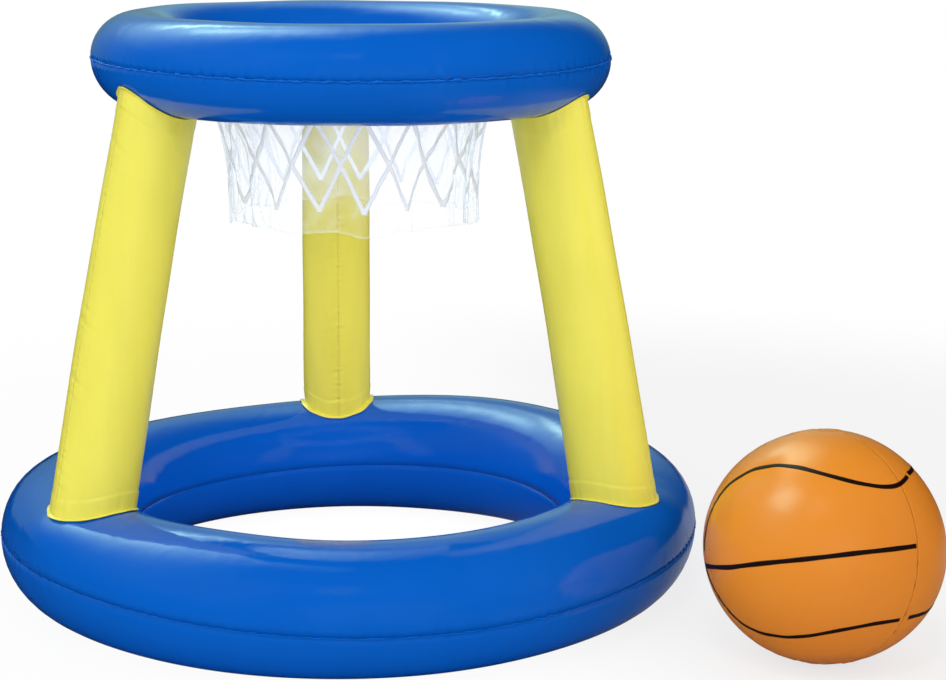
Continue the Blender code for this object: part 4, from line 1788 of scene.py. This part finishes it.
@dataclass(frozen=True)
class Studio:
    """White room: lamps, floor and surroundings.

    Fields:
        ambient: how bright the white surroundings light the set.
        box_levels: (elevation, brightness) up the soft box that the film mirrors.
        box_strength, box_tint: its strength and its colour.
        spots: smaller lights in that room: (turn, width, elevation, height, brightness).
    """

    lamps: tuple[Lamp, ...] = (
        Lamp("key", -8, 50, 3.0, 0.5, 0.5, 15.0),
        Lamp("front_fill", 4, 12, 5.4, 4.8, 3.2, 1.3),
        Lamp("left_fill", -62, 36, 2.6, 2.2, 2.0, 1.3),
        Lamp("right_fill", 70, 12, 2.6, 1.4, 1.4, 0.8, (1.0, 0.90, 0.76)),
        Lamp("leg_fill", 80, 15, 2.6, 1.4, 1.4, 2.1, (1.0, 0.88, 0.76), only="leg_"),
        Lamp("rear_fill", -6, 15, 2.7, 1.6, 1.6, 2.4, (1.0, 0.80, 0.60), only="leg_rear"),
        Lamp("well_fill", 0, 22, 0.36, 0.34, 0.10, 2.8, (0.10, 0.42, 1.0),
             aim=HOOP_AXIS + Vector((0, 0.23, 0.05)), only="base_ring"),
        Lamp("ball_box", -75, 52, 1.2, 0.42, 0.42, 6.0, (0.5, 1.0, 0.85), mirrored=True, diffuse=0.0,
             aim=Ball().centre, only="ball_"),
    )
    ambient: float = 0.565
    box_levels: tuple[tuple[float, float], ...] = (
        (0.0, 0.04), (10.0, 0.06), (20.0, 0.11), (30.0, 0.34), (40.0, 0.59), (50.0, 0.96), (57.0, 1.0),
        (63.0, 0.90), (70.0, 0.45), (80.0, 0.14), (90.0, 0.06))
    box_turn: float = 22.0
    box_strength: float = 3.2
    box_tint: tuple[float, float, float] = (0.60, 1.0, 0.80)
    spots: tuple[tuple[float, float, float, float, float], ...] = (
        (15.0, 9.0, 36.0, 3.0, 3.8), (28.0, 12.0, 51.0, 5.0, 2.4), (-10.0, 14.0, 12.0, 14.0, 0.36))
    floor_radius: float = 5.0

    def build(self) -> None:
        """Set up lamps, floor, world and colour handling."""
        for lamp in self.lamps:
            lamp.build()
        self.build_floor()
        self.build_world()
        bpy.context.scene.view_settings.view_transform = "Standard"

    def build_floor(self) -> None:
        """Build a round white floor that fades into the white surroundings."""
        work = bmesh.new()
        bmesh.ops.create_circle(work, cap_ends=True, segments=96, radius=self.floor_radius)
        mesh = mesh_from(work, "floor")
        mesh.materials.append(self.floor_white())
        floor = bpy.data.objects.new("floor", mesh)
        bpy.context.scene.collection.objects.link(floor)

    @staticmethod
    def floor_white() -> bpy.types.Material:
        """Return the floor's material: white where it is seen, with the set's shadow on its right.

        Light that bounces off it stays that of plain matt white. Where the film mirrors it, it is
        dim, as the room is.
        """
        made, graph, shader = new_material("floor_white")
        graph.tree.nodes.remove(shader)
        place = graph.place()
        path = graph.add("ShaderNodeLightPath")
        seen, mirrored = path.outputs["Is Camera Ray"], path.outputs["Is Glossy Ray"]
        x, y, _ = graph.add("ShaderNodeSeparateXYZ", {0: place}).outputs
        from_hoop = graph.add("ShaderNodeVectorMath", {0: place, 1: tuple(HOOP_AXIS)},
                              operation="DISTANCE").outputs["Value"]
        from_middle = graph.add("ShaderNodeVectorMath", {0: place}, operation="LENGTH").outputs["Value"]
        shadow = graph.times(graph.between(x, 0.0, 0.35, 0.05, 0.28), graph.between(from_hoop, 0.20, 0.26))
        matt_share = graph.plus(graph.minus(1.0, seen), graph.times(seen, shadow))
        dust = graph.between(graph.noise(place, 8, 3.0), 0.3, 0.7, 0.84, 0.86)
        tone = graph.times(dust, graph.times(matt_share, graph.minus(1.0, mirrored)))
        matt = graph.add("ShaderNodeBsdfDiffuse", {"Color": graph.vector(tone, tone, tone)})
        inward = graph.between(from_hoop, 0.7, 1.3, 1.0, 0.05)
        behind = graph.times(graph.between(y, -0.32, 0.02, 0.25, 1.0), inward)
        dim = graph.times(graph.between(x, 0.0, 0.35, 0.01, 0.34), behind)
        level = graph.plus(graph.times(seen, graph.minus(1.0, shadow)), graph.times(mirrored, dim))
        glow = graph.add("ShaderNodeEmission", {"Color": (1, 1, 1, 1), "Strength": level})
        near = graph.add("ShaderNodeAddShader", {0: matt.outputs[0], 1: glow.outputs[0]})
        white = graph.add("ShaderNodeEmission", {"Color": (1, 1, 1, 1), "Strength": 1.0})
        far = graph.times(graph.between(from_middle, 0.9, 1.6), seen)
        both = graph.add("ShaderNodeMixShader", {0: far, 1: near.outputs[0], 2: white.outputs[0]})
        graph.feed(made.node_tree.nodes["Material Output"], {"Surface": both.outputs[0]})
        return made

    def build_world(self) -> None:
        """Surround the set: white where it is seen directly, dim where the film mirrors it."""
        world = bpy.data.worlds.new("studio")
        bpy.context.scene.world = world
        world.use_nodes = True
        graph = Graph(world.node_tree)
        path = graph.add("ShaderNodeLightPath").outputs
        glossy = path["Is Glossy Ray"]
        way = graph.add("ShaderNodeTexCoord").outputs["Generated"]
        x, y, z = graph.add("ShaderNodeSeparateXYZ", {0: way}).outputs
        rise = graph.math("DEGREES", graph.math("ARCSINE", z))
        turn = graph.math("DEGREES", graph.math("ARCTAN2", graph.times(x, -1.0), y))
        room = graph.math("MAXIMUM", self.soft_box(graph, rise, turn), 0.0)
        seen = graph.math("MAXIMUM", path["Is Camera Ray"], path["Is Transmission Ray"])
        above = graph.times(graph.between(z, -0.2, 1.0, 0.85, 1.25), graph.between(y, -0.6, 0.8, 1.1, 0.8))
        soft = graph.times(graph.times(above, self.ambient), graph.minus(1.0, glossy))
        unseen = graph.plus(soft, graph.times(glossy, room))
        tint = tuple(part / self.box_tint[0] for part in self.box_tint)
        graph.feed(world.node_tree.nodes["Background"], {
            "Strength": graph.plus(seen, graph.times(graph.minus(1.0, seen), unseen)),
            "Color": graph.colour(glossy, (1, 1, 1, 1), (*tint, 1))})

    def soft_box(self, graph: Graph, rise: Socket, turn: Socket) -> Socket:
        """Return how bright the room is where the film mirrors it.

        Args:
            graph: the world's graph.
            rise: degrees above the horizon.
            turn: degrees from straight behind the set, where plus is towards its left.

        Returns:
            A large soft box behind on the left with the smaller spots, and nothing on the
            viewer's side.
        """
        ramp = graph.add("ShaderNodeValToRGB", {0: graph.between(rise, 0.0, 90.0, smooth=False)})
        bar = ramp.color_ramp.elements
        for place, _ in self.box_levels[1:-1]:
            bar.new(place / 90)
        for element, (place, level) in zip(bar, self.box_levels):
            element.position = place / 90
            element.color = (level, level, level, 1.0)
        off = graph.minus(turn, self.box_turn)
        wide = self.lobe(graph, off, graph.between(off, -5.0, 5.0, 25.0, 41.0))
        total = graph.times(graph.times(wide, ramp.outputs[0]), self.box_strength)
        for spot_turn, width, spot_rise, height, brightness in self.spots:
            spot = graph.times(self.lobe(graph, graph.minus(turn, spot_turn), width),
                               self.lobe(graph, graph.minus(rise, spot_rise), height))
            total = graph.math("MULTIPLY_ADD", spot, brightness, total)
        return total

    @staticmethod
    def lobe(graph: Graph, off: Socket, width: Value) -> Socket:
        """Return a smooth bump over an angle; the width is where it has come down to 0.37."""
        squared = graph.math("POWER", graph.math("DIVIDE", off, width), 2.0)
        return graph.math("EXPONENT", graph.times(squared, -1.0))


def rings() -> tuple[Ring, Ring]:
    """Return the base ring and the rim."""
    base = Ring("base_ring", HOOP_AXIS + Vector((0, 0, 0.0595)), circle_radius=0.2715, half_width=0.0635,
                half_height=0.0595, stands=True, seed=11, steps=1500, pinch=0.0003, pucker=0.00022,
                bead_radius=0.0004, sways=((0.020, 1, 43.7), (0.032, 2, 20.9), (0.0125, 3, 59.3)),
                weld_sways=((0.0014, 1, 129.6), (0.0035, 2, 11.1), (0.0024, 3, -20.7)),
                pulls=((209.7, 36.0, 0.0095, 0.17, 0.45), (329.5, 36.0, 0.0095, 0.17, 0.45),
                       (90.3, 140.0, -0.003, 0.2, 0.5), (4.0, 25.0, 0.0035, 0.45, 0.7),
                       (182.0, 42.0, 0.0015, 0.35, 0.5), (270.0, -40.0, 0.0022, 0.6, 0.5),
                       (243.0, 95.0, 0.0036, 0.30, 0.6), (60.0, 100.0, 0.0018, 0.3, 0.6)))
    rim = Ring("rim_ring", HOOP_AXIS + Vector((0.0062, 0.002, 0.5095)), circle_radius=0.1985,
               half_width=0.0455, half_height=0.0437, stands=False, seed=23, steps=1140, pinch=0.0005,
               pucker=0.0004, bead_radius=0.0007, weld_sways=((0.002, 2, 0.0),),
               pulls=((195.0, -25.0, -0.002, 0.5, 0.8),), lean=0.006)
    return base, rim


def main() -> None:
    """Build every sub-assembly in order, then the studio round it."""
    logging.basicConfig(level=logging.INFO, format="%(name)s %(message)s")
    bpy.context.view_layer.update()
    finishes = Finishes()
    base, rim = rings()
    legs = (Leg("leg_rear", 89.85, base, rim, 51, foot_outset=0.0108, foot_radius=0.0364,
                head_radius=0.0346, neck_radius=0.0340, flange_radius=0.0398, head_turn=2.05,
                foot_corners=0.0022),
            Leg("leg_left", 209.7, base, rim, 71, head_outset=0.0003, foot_radius=0.0383, bow=0.0022),
            Leg("leg_right", 329.5, base, rim, 91, foot_outset=0.0140, head_outset=-0.0045, bow=0.0018))
    ball = Ball()
    base_valve = Valve("base_valve", Body.HOOP, hinge=Vector((0.057552, 0.308537, 0.106652)),
                       outward=Vector((0.340673, 0.690815, 0.637743)),
                       side=Vector((-0.896873, 0.442289, 0)), lay=base.lay)
    rim_valve = Valve("rim_valve", Body.HOOP, hinge=Vector((-0.014887, 0.261254, 0.528743)),
                      outward=Vector((0.252189, 0.941182, 0.224892)),
                      side=Vector((-0.965926, 0.258819, 0)), lay=rim.lay)
    ball_valve = Valve("ball_valve", Body.BALL, hinge=Vector((0.26798, -0.166665, 0.070372)),
                       outward=Vector((-0.44467, 0.81368, -0.374423)),
                       side=Vector((-0.890642, -0.446014, 0.08848)), lay=ball.lay)
    base.build(finishes, base_valve.trim)
    rim.build(finishes, rim_valve.trim)
    for leg in legs:
        leg.build(finishes)
    Net(rim).build(finishes)
    ball.build(finishes, ball_valve.trim)
    for valve in (base_valve, rim_valve, ball_valve):
        valve.build(finishes)
    Camera().build()
    Studio().build()


if __name__ == "__main__":
    main()
